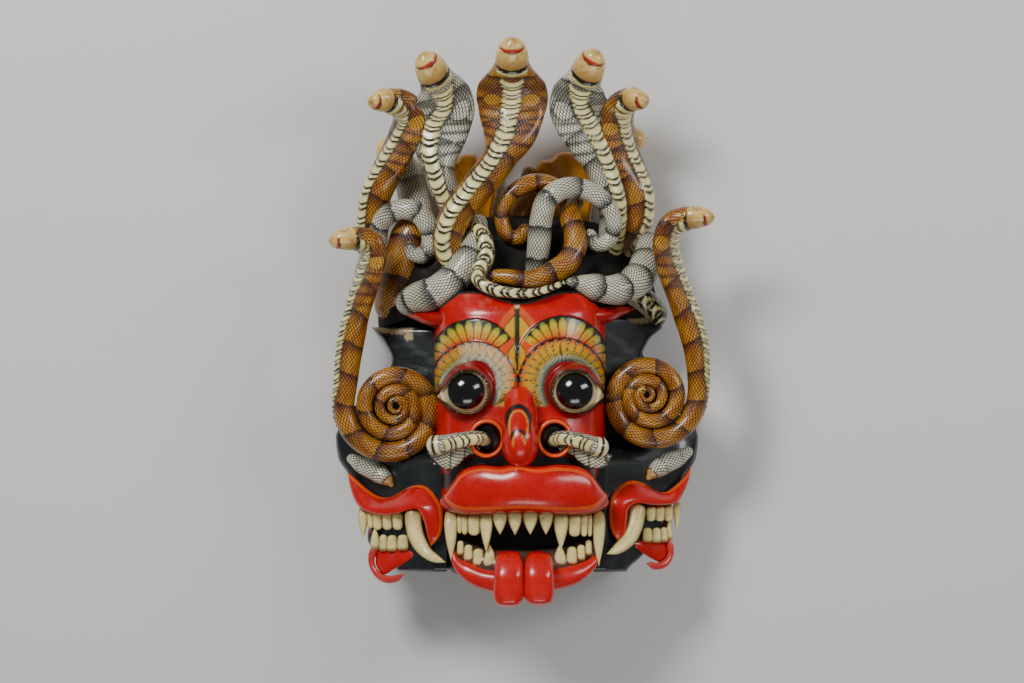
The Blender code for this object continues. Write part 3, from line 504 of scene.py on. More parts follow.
def carve(t, height):
    """Raises the surface of a tube by a height in millimetres at each point."""
    t["points"] = t["points"] + t["out"] * height[..., None]


# %% [markdown]
# The paint of a snake has a light ground with bands that darken slowly and end at a sharp curved edge, as
# if the segments lapped over each other: the near-black end of each band is painted shade under such a
# lap. The ochre snakes have rust bands and the pale ones have black bands. Belly plates are carved as laps:
# a long one and a short one in turn, each standing a little proud at its lower end, with a black brush line
# under it. Painted shade darkens each plate under the lap of the one before and toward its sides, and lies
# on the coat along the belly's edge.

# %% Bands and belly plates
PALETTES = {
    "ochre": dict(light="#E8A41A", ground="#B4600C", band="#641E05", dark="#260A03"),
    "pale": dict(light="#FFFAE4", ground="#F2ECCB", band="#5E6258", dark="#080A08"),
}
PLATE = "#FAEDA6"
PLATE_PAINTED_SHADE = "#8F8B50"
HEAD_CREAM = "#EDC774"
HEAD_TAN_AND_SHADE = "#9A6218"
INK = "#120E0A"
MOUTH_RED = "#B8281A"
MOUTH_SHADE = "#4A1208"
EYE_BROWN = "#8A4A38"
LONG_SHARE = 0.64
PLATE_RISE = 1.3
RIM_CUT = 0.9


def banded(t, kind, period, lap=0.0, start=0.0, strength=1.0):
    """Bands along a tube, with the laps of a thick coil carved by lap millimetres."""
    palette = PALETTES[kind]
    place = t["length"] - 0.25 * t["wide"] * np.cos(t["around"]) + start
    uneven = 1.2 * wobble(t["length"] * 1.5, np.abs(t["side"]), period)
    share = np.mod((place + uneven) / period, 1)
    coat = ground(t["length"].shape, palette["ground"])
    coat = brush(coat, 0.5 + 0.5 * wobble(t["length"], t["side"] * 2, 3 * period), palette["light"])
    coat = brush(coat, strength * blend(0.45, 1.0, share) ** 1.3, palette["band"])
    # Painted shade: each band turns near-black at its end, where one segment laps over the next.
    coat = brush(coat, strength * 0.8 * blend(0.86, 1.0, share), palette["dark"])
    edge = period * np.minimum(share, 1 - share)
    coat = brush(coat, 0.9 * strength * line_at(edge, 1.2), palette["dark"])
    if lap:
        carve(t, lap * (share**1.5 - 0.5) * (1 - blend(0.97, 1.0, share)))
    return coat


def belly_plates(t, coat, half, first, near=13.0, far=14.0, curl=0.5, line=2.2):
    """Paints and carves belly plates within half of the middle, from `first` mm behind the snout."""
    side = np.clip(np.abs(t["side"]) / np.maximum(half, 0.1), 0, 3)
    place = t["left"] - curl * half * (1 - np.minimum(side, 1.0) ** 2) - first
    period = near + (far - near) * blend(20, 110, place)
    share = np.mod(place / period, 1)
    down = np.where(share < LONG_SHARE, share / LONG_SHARE, (share - LONG_SHARE) / (1 - LONG_SHARE))
    within = (t["side"] ** 2 < half**2) & (place > 0)
    soft = (1 - blend(half - 0.5, half + 0.5, np.abs(t["side"]))) * blend(-0.5, 0.5, place)
    plate = ground(t["length"].shape, PLATE)
    # Painted shade on each plate: darker at its start, under the lap of the plate before, and toward its
    # sides.
    plate = brush(plate, 0.75 * (1 - blend(0.0, 0.45, down)), PLATE_PAINTED_SHADE)
    plate = brush(plate, 0.5 * blend(0.75, 1.0, side), PLATE_PAINTED_SHADE)
    to_edge = period * np.minimum(np.abs(share - LONG_SHARE), np.minimum(share, 1 - share))
    outward = np.clip(side, 0, 1)
    thick = line * (1.1 - 0.6 * outward**2) * np.sqrt(1 + (2 * curl * outward) ** 2)
    plate = brush(plate, line_at(to_edge, thick), INK)
    coat = brush(coat, soft, plate)
    shown = (half > 1.0) & (place > -1)
    rim = line_at(np.abs(t["side"]) - half, 1.1) * shown
    coat = brush(coat, 0.85 * rim, INK)
    # Painted shade: the coat darkens over 7 mm beside the belly's edge, along the groove cut there.
    shade = (1 - blend(0, 7, np.abs(t["side"]) - half)) * (np.abs(t["side"]) > half) * shown
    coat = brush(coat, 0.45 * shade, INK)
    carve(t, np.where(within, PLATE_RISE * down * blend(0.0, 0.25, 1 - side), 0) - RIM_CUT * rim)
    return coat, 1 - soft


# %% [markdown]
# The head of each cobra is cream with a red mouth line round the snout, and turns tan toward the throat
# and the neck in painted shade. Under the chin a black crescent and a cream crescent part it from the
# belly plates. The hood has a pale eye spot on each side of the belly, with a dark ring round it, and
# narrow dark bands below it.

# %% Head and hood
def hood_marks(t, coat, kind, half, spot_at):
    palette = PALETTES[kind]
    beside = np.abs(t["side"]) - half
    down = t["left"] - spot_at
    hooded = blend(17, 22, t["wide"]) * blend(-1, 1, beside) * blend(-26, -18, down)
    crown = 1 - blend(-12, -5, down)
    coat = brush(coat, 0.75 * crown * hooded, palette["band"])
    bent = down + 0.25 * beside
    stripe = 0.5 + 0.5 * np.cos(2 * np.pi * (bent - 15) / 11.5)
    striped = hooded * blend(8, 12, down) * (1 - blend(52, 62, down))
    coat = brush(coat, 0.75 * striped * stripe**2, palette["band"])
    coat = brush(coat, 0.5 * striped * stripe**6, palette["dark"])
    ring = np.hypot(down / 8.0, (beside - 10) / 9.5)
    coat = brush(coat, 0.8 * hooded * (1 - blend(1.0, 1.45, ring)), palette["band"])
    coat = brush(coat, hooded * (1 - blend(0.9, 1.05, ring)), palette["light"])
    coat = brush(coat, 0.6 * hooded * line_at((ring - 1) * 8, 0.9), palette["dark"])
    return coat


def head_marks(t, coat, scaly, head=1.0, eye=True):
    """Paints the cream head, its mouth and its neck crescents over a snake's coat."""
    throat = np.cos(t["around"])
    behind = t["left"] - head * (27 + 1.5 * throat)
    under = np.clip(throat, 0, 1) ** 0.6
    cream = ground(t["length"].shape, HEAD_CREAM)
    # Painted shade: the cream darkens to tan toward the throat and toward the neck.
    cream = brush(cream, 0.8 * blend(8, 32, t["left"] / head) * blend(-0.6, 0.9, throat), HEAD_TAN_AND_SHADE)
    # Tan specks of wear, then a darker tip to the snout.
    cream = brush(cream, 0.6 * blend(0.45, 0.95, wobble(t["length"] * 2.3, t["side"] * 2.1, 2)), HEAD_TAN_AND_SHADE)
    cream = brush(cream, 0.55 * blend(4, 0, t["left"] / head), HEAD_TAN_AND_SHADE)
    coat = brush(coat, inside(behind), cream)
    collar = inside(np.abs(t["side"]) - 15 * head) * blend(0.15, 0.3, throat)
    coat = brush(coat, inside(np.abs(behind - 7.2 * under) - 3.4 * under) * collar, PLATE)
    coat = brush(coat, line_at(behind - 11.2 * under, 1.3) * collar, INK)
    coat = brush(coat, line_at(behind, 0.9), INK)
    coat = brush(coat, inside(np.abs(behind - 2.2 * under) - 2.4 * under) * blend(0.02, 0.2, throat), INK)
    reach = np.abs(t["side"]) / (15 * head)
    gape = t["left"] - head * (8.0 - 1.0 * reach**2)
    thick = 1.7 * head * np.clip(1 - reach, 0, 1)
    mouth = (throat > 0) * (reach < 1)
    coat = brush(coat, inside(np.abs(gape - 1.2) - thick - 0.4) * mouth, MOUTH_SHADE)
    coat = brush(coat, inside(np.abs(gape) - thick) * mouth, MOUTH_RED)
    if eye:
        ring = np.hypot((t["left"] - 17 * head) / 4.2, (np.abs(np.degrees(t["around"])) - 118) / 13)
        coat = brush(coat, 0.8 * inside((ring - 1) * 3), EYE_BROWN)
        coat = brush(coat, inside((ring - 0.6) * 3), HEAD_CREAM)
        coat = brush(coat, inside((ring - 0.25) * 3), INK)
    fold = inside(np.abs(behind - 1.5) - 1.5)
    swelling = inside(np.abs(behind - 7.2 * under) - 3.4) * collar
    carve(t, 0.7 * swelling - 0.8 * fold)
    plain = np.maximum(inside(behind - 2), collar * inside(behind - 12))
    return coat, scaly * (1 - plain)


def finish_tube(name, t, coat, scaly, material, slot, *nodes):
    points = t["points"]
    points[..., 2] = np.maximum(points[..., 2], GROUND_GAP)
    skin = np.stack([t["length"], t["side"]], axis=-1)
    obj = sheet(name, points, skin, paint=coat, scaly=scaly)
    close_up(obj)
    return hand_in(obj, material, slot, *nodes)


# %% [markdown]
# The crown's snakes follow the routes of the solids. A route is a list of places on the grid, and the
# girth along it runs from the thin tail through the body and the hood to the snout.

# %% The five hooded cobras
def cobra_girth(length, body, hood, head=1.0, tail=None):
    """Half widths and depths along a cobra from its tail to its snout."""
    back = [(0, 2.2, 2.2), (3.5, 7.5, 6.2), (10, 12, 9.5), (21, 15, 12.3), (30, 15.6, 12.6)]
    stations = [(d * head, w * head, t * head) for d, w, t in back]
    stations += [(38 * head, 0.4 * hood + 6, 11.5), (48 * head, 0.72 * hood + 2, 10.5),
                 (62, 0.94 * hood, 10.2), (76, hood, 10), (92, 0.93 * hood, 11),
                 (118, 0.5 * hood + 0.5 * body, 0.86 * body), (142, body, body)]
    shares = [(1 - d / length, w, t) for d, w, t in reversed(stations)]
    start = tail if tail is not None else [(0, body)]
    return [(s, r, r) for s, r in start] + [s for s in shares if s[0] > start[-1][0] + 0.02]


def hooded_cobra(name, kind, route, body, hood, turn, head=1.0, tail=None, belly_angle=((0, 0), (1, 0)),
                 belly=9.0, period=30.0, strength=0.8):
    length = smooth_route(route)[1][-1]
    t = tube(route, cobra_girth(length, body, hood, head, tail), turn, belly_angle, ring=1.1, sides=60)
    coat = banded(t, kind, period, strength=strength)
    half = belly * (1 + 0.35 * (1 - blend(46 * head, 66, t["left"])))
    coat = hood_marks(t, coat, kind, half, 62 * head + 8)
    coat, scaly = belly_plates(t, coat, half, 40 * head)
    coat, scaly = head_marks(t, coat, scaly, head)
    return finish_tube(name, t, coat, scaly, SKINS[kind], "crown_paint", "cobra_crown")


hooded_cobra("middle_cobra", "ochre",
             [(-50, 62, 84), (-66, 78, 96), (-72, 100, 106), (-64, 124, 110), (-46, 148, 110),
              (-24, 176, 106), (-11, 205, 100), (-8, 232, 96), (-8, 250, 102), (-8, 266, 115),
              (-8, 282, 132), (-8, 298, 149)],
             17, 36, [(0, 25), (0.5, 22), (0.7, 8), (0.8, 0), (1, 0)], head=1.1, tail=[(0, 11), (0.1, 15)])
hooded_cobra("left_pale_cobra", "pale",
             [(-48, 74, 70), (-56, 108, 78), (-68, 134, 84), (-78, 158, 87), (-82, 186, 88), (-78, 216, 88),
              (-76, 234, 94), (-80, 251, 104), (-87, 266, 121), (-97, 283, 141)],
             15, 31, [(0, 0), (0.5, 0), (0.75, -8), (1, -10)], head=1.08, tail=[(0, 12)],
             belly_angle=[(0, -24), (0.55, -24), (0.75, 0), (1, 0)], period=26)
hooded_cobra("right_pale_cobra", "pale",
             [(86, 74, 62), (92, 104, 70), (93, 134, 80), (86, 160, 86), (74, 190, 88), (62, 220, 88),
              (59, 237, 94), (62, 254, 105), (68, 269, 122), (76, 286, 141)],
             16, 30, [(0, -30), (0.5, -25), (0.75, 4), (1, 8)], head=1.08, tail=[(0, 13)],
             belly_angle=[(0, 4), (0.6, 8), (0.8, 0), (1, 0)], period=28)
hooded_cobra("left_ochre_cobra", "ochre",
             [(-124, 34, 42), (-142, 64, 46), (-150, 96, 50), (-149, 120, 56), (-145, 144, 62),
              (-132, 172, 68), (-118, 200, 74), (-111, 219, 79), (-116, 233, 89), (-129, 239, 102),
              (-150, 237, 122)],
             15.5, 26, [(0, 50), (0.5, 55), (0.8, 52), (1, 55)], head=0.86, tail=[(0, 14)], belly=8)
hooded_cobra("right_ochre_cobra", "ochre",
             [(92, 52, 50), (97, 78, 54), (106, 98, 58), (116, 120, 62), (117, 142, 65), (111, 166, 68),
              (103, 192, 73), (98, 216, 79), (100, 232, 88), (109, 240, 101), (127, 238, 120)],
             18, 25, [(0, -50), (0.5, -55), (0.8, -50), (1, -55)], head=0.86, tail=[(0, 15)], belly=9)
print("cobras:", [(o.name, len(o.data.polygons)) for o in MADE])

# %% [markdown]
# Between the necks and the brow lie coils without heads: curled tails, a ring of two snakes that hold
# each other, and thick bodies. They are plain tubes with bands. The chain over the brow shows only its
# belly plates.

# %% Coils, tails and the brow's chain
def coil(name, kind, route, radii, period, lap=0.0, start=0.0, belly=0.0, plates=9.0, strength=1.0,
         cream=0.0):
    t = tube(route, [(s, r, r) for s, r in radii], ring=1.35, sides=36)
    coat = banded(t, kind, period, lap, start, strength)
    scaly = np.ones_like(t["length"])
    if belly:
        coat, scaly = belly_plates(t, coat, belly * t["wide"], -40, near=plates, far=plates, curl=1.1,
                                   line=3.0)
    bare = inside(t["left"] - cream, 2) if cream else 0 * scaly
    coat = brush(coat, bare, HEAD_CREAM)
    return finish_tube(name, t, coat, scaly * (1 - bare), SKINS[kind], "crown_paint", "cobra_crown")


coil("left_back_cobra", "pale", [(-92, 84, 34), (-104, 130, 34), (-114, 168, 34), (-126, 189, 40),
                                 (-144, 194, 52)],
     [(0, 14), (0.5, 16), (0.75, 13), (0.9, 12), (1, 9)], 40, strength=0.5, cream=34)
coil("right_back_cobra", "pale", [(92, 84, 34), (98, 130, 32), (103, 172, 34), (112, 199, 42),
                                  (123, 206, 56)],
     [(0, 14), (0.5, 14), (0.75, 12), (0.9, 12), (1, 9)], 40, strength=0.5, cream=34)
coil("left_root", "ochre", [(-136, 20, 46), (-124, 50, 54), (-114, 86, 58), (-108, 122, 60),
                            (-104, 140, 56)],
     [(0, 15), (0.3, 23), (0.7, 20), (1, 8)], 44)
coil("left_pale_curl", "pale",
     [(-142, 92, 62), (-141, 114, 70), (-130, 127, 79), (-115, 131, 84), (-101, 126, 86), (-91, 112, 87),
      (-89, 96, 87), (-97, 85, 88), (-108, 88, 90), (-110, 98, 92)],
     [(0, 9), (0.3, 10.5), (0.65, 10.5), (0.88, 8.5), (1, 5)], 24, lap=0.5)
coil("ochre_curl", "ochre",
     [(52, 132, 68), (40, 149, 78), (26, 156, 86), (8, 156, 92), (-8, 147, 94), (-17, 132, 94),
      (-18, 118, 94), (-12, 105, 95), (-2, 102, 96), (4, 109, 98), (3, 116, 99)],
     [(0, 9), (0.3, 9.7), (0.6, 7.6), (0.85, 7.4), (0.93, 7.6), (1, 6)], 26)
coil("pale_ring", "pale",
     [(16, 56, 88), (17, 74, 96), (19, 98, 103), (21, 120, 107), (27, 139, 109), (41, 150, 109),
      (61, 151, 106), (79, 142, 103), (90, 130, 101), (94, 115, 99), (88, 99, 98), (76, 96, 99),
      (71, 105, 101), (73, 110, 102)],
     [(0, 11), (0.15, 12), (0.35, 11.5), (0.6, 10.2), (0.8, 8), (0.93, 8), (1, 6.5)], 32, lap=0.7, start=4)
coil("ochre_ring", "ochre",
     [(-54, 60, 104), (-37, 63, 113), (-15, 63, 120), (11, 60, 123), (31, 67, 120), (47, 77, 116),
      (55, 93, 111), (54, 109, 105), (50, 123, 97), (52, 135, 86), (60, 140, 74)],
     [(0, 6), (0.2, 7.5), (0.38, 9.5), (0.55, 12.2), (0.7, 11.6), (0.85, 10.5), (1, 8)], 30)
coil("left_pale_body", "pale",
     [(-118, 33, 74), (-104, 42, 94), (-86, 47, 108), (-66, 61, 112), (-50, 84, 108), (-42, 106, 96),
      (-42, 124, 84)],
     [(0, 13), (0.3, 16.5), (0.7, 15), (1, 9)], 27, lap=1.4, start=6)
coil("brow_chain", "pale",
     [(-46, 117, 96), (-36, 101, 112), (-34, 83, 119), (-42, 66, 127), (-38, 56, 139), (-23, 49, 146),
      (-7, 46.5, 150), (8, 46, 150), (23, 49, 148), (34, 53, 144), (44, 57, 138)],
     [(0, 8), (0.3, 9), (0.45, 7), (0.65, 5.5), (0.9, 3.5), (1, 2.5)], 300, belly=1.15, plates=14)
coil("right_pale_body", "pale",
     [(46, 58, 132), (56, 57, 128), (70, 54, 124), (86, 50, 119), (104, 52, 110), (120, 64, 94),
      (128, 86, 76), (126, 108, 60)],
     [(0, 3), (0.1, 9), (0.25, 14), (0.6, 16.5), (0.85, 14), (1, 10)], 26, lap=1.8, start=-8)
coil("right_low_belly", "pale", [(100, 52, 86), (120, 43, 88), (134, 31, 80), (140, 20, 62)],
     [(0, 11), (0.4, 12), (0.8, 11), (1, 7)], 60, belly=0.75, plates=11)
coil("back_stem", "ochre", [(-14, 70, 40), (-8, 108, 38), (6, 144, 32), (10, 176, 28)],
     [(0, 12), (0.6, 13), (1, 7)], 50)
print("pieces so far:", len(MADE))

# %% [markdown]
# Each ear is one cobra that is wound up on the side of the head. Its body thickens steadily from the
# middle of the spiral outwards, turn by turn, so that the turns touch. The neck then rises beside the
# crown, with the belly plates on its outer edge.

# %% The ear cobras
SIGN = {"left": -1, "right": 1}
EARS = {
    "left": dict(centre=(-122, -66), radius=48, thick=11.0, thinning=2.7),
    "right": dict(centre=(125, -55), radius=46, thick=10.6, thinning=2.6),
}
EAR_TURNS = 3.8
EAR_DRIFT = 6.0
EAR_SEAT = 90.0
SEAT_GAP = 0.5
SPIRAL_STEPS = 12
EAR_NECKS = {
    "left": [(-174, -44, 8), (-171, -16, 9), (-166, 12, 11), (-159, 40, 13), (-151, 66, 16), (-146, 87, 20),
             (-151, 98, 26), (-165, 101, 32), (-190, 98, 41)],
    "right": [(178, -36, 8), (175.5, -8, 9), (168, 20, 11), (158, 48, 13), (149, 76, 16), (146, 100, 20),
              (152, 115, 26), (166, 121, 32), (193, 122, 41)],
}


def ear_cobra(side):
    sign = SIGN[side]
    ear = EARS[side]
    cx, cy = ear["centre"]
    thick = ear["thick"]
    thinning = ear["thinning"]
    spiral = []
    sizes = []
    for k in range(int(EAR_TURNS * SPIRAL_STEPS), -1, -1):
        t = k / SPIRAL_STEPS
        r = ear["radius"] - 2 * thick * t + thinning * t * t
        angle = math.pi + 2 * math.pi * t
        shift = EAR_DRIFT * (1 - t / EAR_TURNS)
        spiral.append((cx + sign * (-r * math.cos(angle) + shift), cy + r * math.sin(angle) - 0.5 * shift,
                       EAR_SEAT + 6 + 3.5 * t))
        sizes.append(thick - thinning * t)
    neck = [(x, y, EAR_SEAT + above) for x, y, above in EAR_NECKS[side]]
    curve, along = smooth_route(spiral + neck)
    total = along[-1]
    knots = along[::ROUTE_FINENESS][: len(spiral)] / total
    girth = [(float(s), max(h * 0.985, 1.4), max(h * 0.985, 1.4)) for s, h in zip(knots, sizes)]
    wound = girth[-1][0]
    girth += [s for s in cobra_girth(total, 13.5, 24, 0.92) if s[0] > wound + 0.05]
    turn = [(0, sign * -70), (wound, sign * -80), (0.9, sign * -62), (1, sign * -72)]
    tilt = [(0, 0), (wound, sign * 8), (1, 0)]
    t = tube(None, girth, turn, tilt, ring=1.3, sides=44, curve=(curve, along))
    coat = banded(t, "ochre", 31, strength=0.85)
    half = 10.5 * blend(wound * total - 15, wound * total + 25, t["length"])
    coat = hood_marks(t, coat, "ochre", half, 62)
    coat, scaly = belly_plates(t, coat, half, 36, near=8.5, far=9.5, curl=0.5, line=1.8)
    coat, scaly = head_marks(t, coat, scaly, 0.92)
    low = EAR_SEAT + SEAT_GAP
    close = np.hypot(t["points"][..., 0] - cx, t["points"][..., 1] - cy) < ear["radius"] + 14
    t["points"][..., 2] = np.where(close, np.maximum(t["points"][..., 2], low), t["points"][..., 2])
    return finish_tube(f"{side}_ear", t, coat, scaly, OCHRE, "ear_paint", f"{side}_ear_cobra")


for side in EARS:
    ear_cobra(side)
print("ears:", [(o.name, len(o.data.polygons)) for o in MADE[-2:]])

# %% [markdown]
# The head is laid out by brush on the real mask: arches, petals and outlines are drawn by eye, and differ
# from left to right. So the paint is drawn in the photograph's own pixels. `pixel` says where a point of
# the carving shows there, and `line_to` gives the distance to a line or an outline drawn through a few
# places.

# %% Drawing in the photograph's pixels
def pixel(points):
    """Where points of the grid show in the photograph."""
    nearer = (CAMERA_HEIGHT / MM - SCALE_HEIGHT) / (CAMERA_HEIGHT / MM - points[..., 2])
    shown = CAMERA_AT + (points[..., :2] - CAMERA_AT) * nearer[..., None]
    return GRID_PIXEL[0] + shown[..., 0], GRID_PIXEL[1] - shown[..., 1]


def line_to(px, py, places, closed=False):
    """Distance in pixels to a smooth line through some places. Inside a closed line it is negative."""
    places = [*places, places[0]] if closed else places
    curve = smooth_route([(x, y, 0) for x, y in places], 7)[0][:, :2]
    nearest = np.full(px.shape, 1e9)
    enclosed = np.zeros(px.shape, bool)
    for (ax, ay), (bx, by) in zip(curve[:-1], curve[1:]):
        share = ((px - ax) * (bx - ax) + (py - ay) * (by - ay)) / ((bx - ax) ** 2 + (by - ay) ** 2 + 1e-9)
        share = np.clip(share, 0, 1)
        nearest = np.minimum(nearest, np.hypot(px - ax - share * (bx - ax), py - ay - share * (by - ay)))
        if closed:
            crossed = (ay > py) != (by > py)
            enclosed ^= crossed & (px < ax + (py - ay) / (by - ay + 1e-12) * (bx - ax))
    return np.where(enclosed, -nearest, nearest)


MIDDLE_PIXEL = 517.4
LACQUER = "#CC0300"
CRIMSON = "#8E0208"
ORANGE = "#F0560C"
SLATE = "#1C2323"
EYES = {
    "left": dict(
        ball=(466.2, 390.8), outer=(474, 364, 45.5), inner=(474, 386, 44.3), corner=-1, face_edge=434.5,
        opening=[(437, 396.5), (445, 386.5), (451, 379), (459, 372.3), (467, 370.6), (476, 372), (484, 378),
                 (488, 387), (487.6, 396), (484, 404.5), (477, 411), (467, 413.5), (457, 410.5),
                 (447, 403)],
        lid=[(436.5, 394.5), (442.5, 384), (450, 372.5), (461, 364), (474, 360.6), (485, 362.5),
             (492.5, 371), (495.8, 382.5), (495, 395), (490, 408), (478, 418), (462, 418), (448, 408)]),
    "right": dict(
        ball=(574.6, 390.8), outer=(563, 362, 46.3), inner=(562, 382, 44.2), corner=1, face_edge=606,
        opening=[(605, 396.5), (598.5, 387), (592.5, 380.5), (585, 372.6), (575, 370.6), (564, 372.3),
                 (555.5, 379.5), (552.3, 390), (554.5, 400), (562, 408.8), (572.5, 412.3), (584, 410.3),
                 (594, 404.3)],
        lid=[(605.5, 394), (600, 382.5), (591, 370), (580, 363), (570, 361), (558.7, 363), (548.7, 371),
             (545, 381), (545, 395), (551, 408), (562, 417), (580, 417), (594, 408)]),
}


def circle(px, py, ring):
    return np.hypot(px - ring[0], py - ring[1]) - ring[2]


def brow_marks(px, py):
    """Signed distances of the brow's bands, the lids and the eye openings of both eyes."""
    marks = []
    for eye in EYES.values():
        marks.append(dict(
            outer=circle(px, py, eye["outer"]), inner=circle(px, py, eye["inner"]),
            lid=line_to(px, py, eye["lid"], closed=True), opening=line_to(px, py, eye["opening"],
                                                                          closed=True),
            ball=np.hypot(px - eye["ball"][0], py - eye["ball"][1]), eye=eye))
    return marks


# %% [markdown]
# The relief of the head is a height for each place on the grid: the rounded front of the main face with
# stepped brows, the lids that swell over the eyeballs, and the scooped flanks and sloping cheeks of the
# side faces.

# %% Heights of the head
FACE_HALF_WIDTH = 86
FACE_PROFILE = [(-238, 116), (-212, 134), (-172, 150), (-110, 150), (-55, 145), (-10, 151), (25, 147),
                (52, 134)]
FACE_BACK = 60
FACE_SQUARENESS = 3.2
CHIN = -234
SIDE_CHIN = -231
FLANK_TOPS = {-1: 13, 1: 24}
OUTLINES = {
    -1: [(-236, 120), (-212, 142), (-185, 154), (-160, 163), (-140, 170), (-118, 184), (-98, 186),
         (-80, 176), (-60, 152), (-40, 134), (-20, 129), (0, 138), (15, 150)],
    1: [(-236, 104), (-212, 126), (-185, 143), (-160, 156), (-140, 165), (-118, 178), (-98, 180),
        (-80, 170), (-60, 148), (-40, 130), (-20, 122), (0, 130), (15, 144)],
}
CHEEK_HEIGHT = 120
CHEEK_SLOPE = 0.80
FLANK_HEIGHT = 72
FLANK_SLOPE = 0.25
CHEEK_ENDS = (-124, -96)
EYE_DEPTH = 140
EYE_RADIUS = 24.5
LID_RADIUS = 29.5
LOW_LID_RADIUS = 27.3
SUNK_RADIUS = 23.9
OUTER_STEP = 2.6
INNER_STEP = 2.8


def face_height(x, y):
    share = np.clip(np.abs(x) / FACE_HALF_WIDTH, 0, 1)
    rounded = (1 - share**FACE_SQUARENESS) ** (1 / FACE_SQUARENESS)
    front = ease(FACE_PROFILE, np.ravel(y))[:, 0].reshape(np.shape(y))
    return FACE_BACK + (front - FACE_BACK) * rounded


def side_height(x, y):
    beyond = np.maximum(np.abs(x) - FACE_HALF_WIDTH, 0)
    cheek = CHEEK_HEIGHT - CHEEK_SLOPE * beyond
    flank = FLANK_HEIGHT - FLANK_SLOPE * beyond
    return cheek + (flank - cheek) * blend(*CHEEK_ENDS, y)


def block_top(x):
    """The upper edge of the main face, with a hump over each brow."""
    s = np.abs(x)
    hump = 0.5 - 0.5 * np.cos(2 * np.pi * np.minimum(s, 47) / 94)
    return 38 + 11 * hump - 16 * blend(55, 86, s)


def chin_line(x):
    """The lower edge of the main face, which rises to its corners."""
    return CHIN + 16 * blend(52, 86, np.abs(x)) ** 2


def dome(away, radius):
    """The height of a ball of that radius at the depth of the eyes, and low beside it."""
    return np.where(away < radius, EYE_DEPTH + np.sqrt(np.clip(radius**2 - away**2, 0, None)), 0)


def brow_relief(x, y, z):
    """Adds the brow's steps, the lids and the sunk eye openings to the face."""
    px, py = pixel(np.stack([x, y, np.full_like(x, 150.0)], -1))
    for m in brow_marks(px, py):
        above = blend(-75, -55, y)
        z = z + above * (OUTER_STEP * inside(m["outer"], 1.6) + INNER_STEP * inside(m["inner"], 1.6))
        toward = np.clip((m["inner"] + 22) / 22, 0, 1)
        z = z - above * inside(m["inner"], 1.6) * 4.0 * (1 - toward) ** 0.8
        lid = dome(m["ball"], LID_RADIUS)
        low_lid = dome(m["ball"], LOW_LID_RADIUS)
        over = blend(-6, 8, m["eye"]["ball"][1] - py)
        z = soft_max(z, low_lid + (lid - low_lid) * over, 2.0)
        sunk = np.maximum(dome(m["ball"], SUNK_RADIUS), 149.5)
        z = np.where(m["opening"] < 0, np.minimum(z, sunk), z)
    return z


# %% [markdown]
# The petals of the two brow bands are one pattern each: an angle round the eye says which petal, and the
# share of the way across the band says how far along it. The outer band has pointed petals with green
# tips on black, the inner band rounded ones with a fan of fine lines at their foot. The left one is worn
# pale at the top.

# %% The painted face
OUTER_PETALS = [(0, "#D8401A"), (0.3, "#E8A01C"), (0.6, "#D9B72A"), (0.9, "#7F9A2C")]
INNER_PETALS = [(0.15, "#C9C276"), (0.4, "#E3B024"), (0.75, "#EBA01E"), (0.95, "#DE4A1C")]
PETAL_EDGE = "#43100A"
PETAL_VEIN = "#6A1608"
BAND_BLACK = "#16150F"
BAND_GREY = "#B9BD96"
BAND_GREEN = "#3E5648"
PALE_WEAR = "#E4DCC4"


def petals(coat, turn, share, where, period, tip, shoulder, colours, line):
    """Petals side by side. share runs from the foot at 0 to the tip; colours are (share, hex) stops."""
    off = np.abs(np.mod(turn / period, 1) - 0.5)
    taper = np.clip((share - shoulder) / (tip - shoulder), 0, 1)
    half = 0.46 * np.sqrt(np.clip(1 - taper**1.7, 0, 1))
    leaf = where * inside(off - half, 0.10) * (share < tip)
    tone = ground(share.shape, colours[0][1])
    for (low, _), (high, code) in zip(colours[:-1], colours[1:]):
        tone = brush(tone, blend(low, high, share), code)
    coat = brush(coat, leaf, tone)
    edge = where * line_at(off - half + 0.03, line, 0.08) * (share < tip + 0.03)
    coat = brush(coat, 0.9 * edge, PETAL_EDGE)
    vein = where * line_at(off, line, 0.07) * (share < 0.5 * tip)
    return brush(coat, 0.8 * vein, PETAL_VEIN)


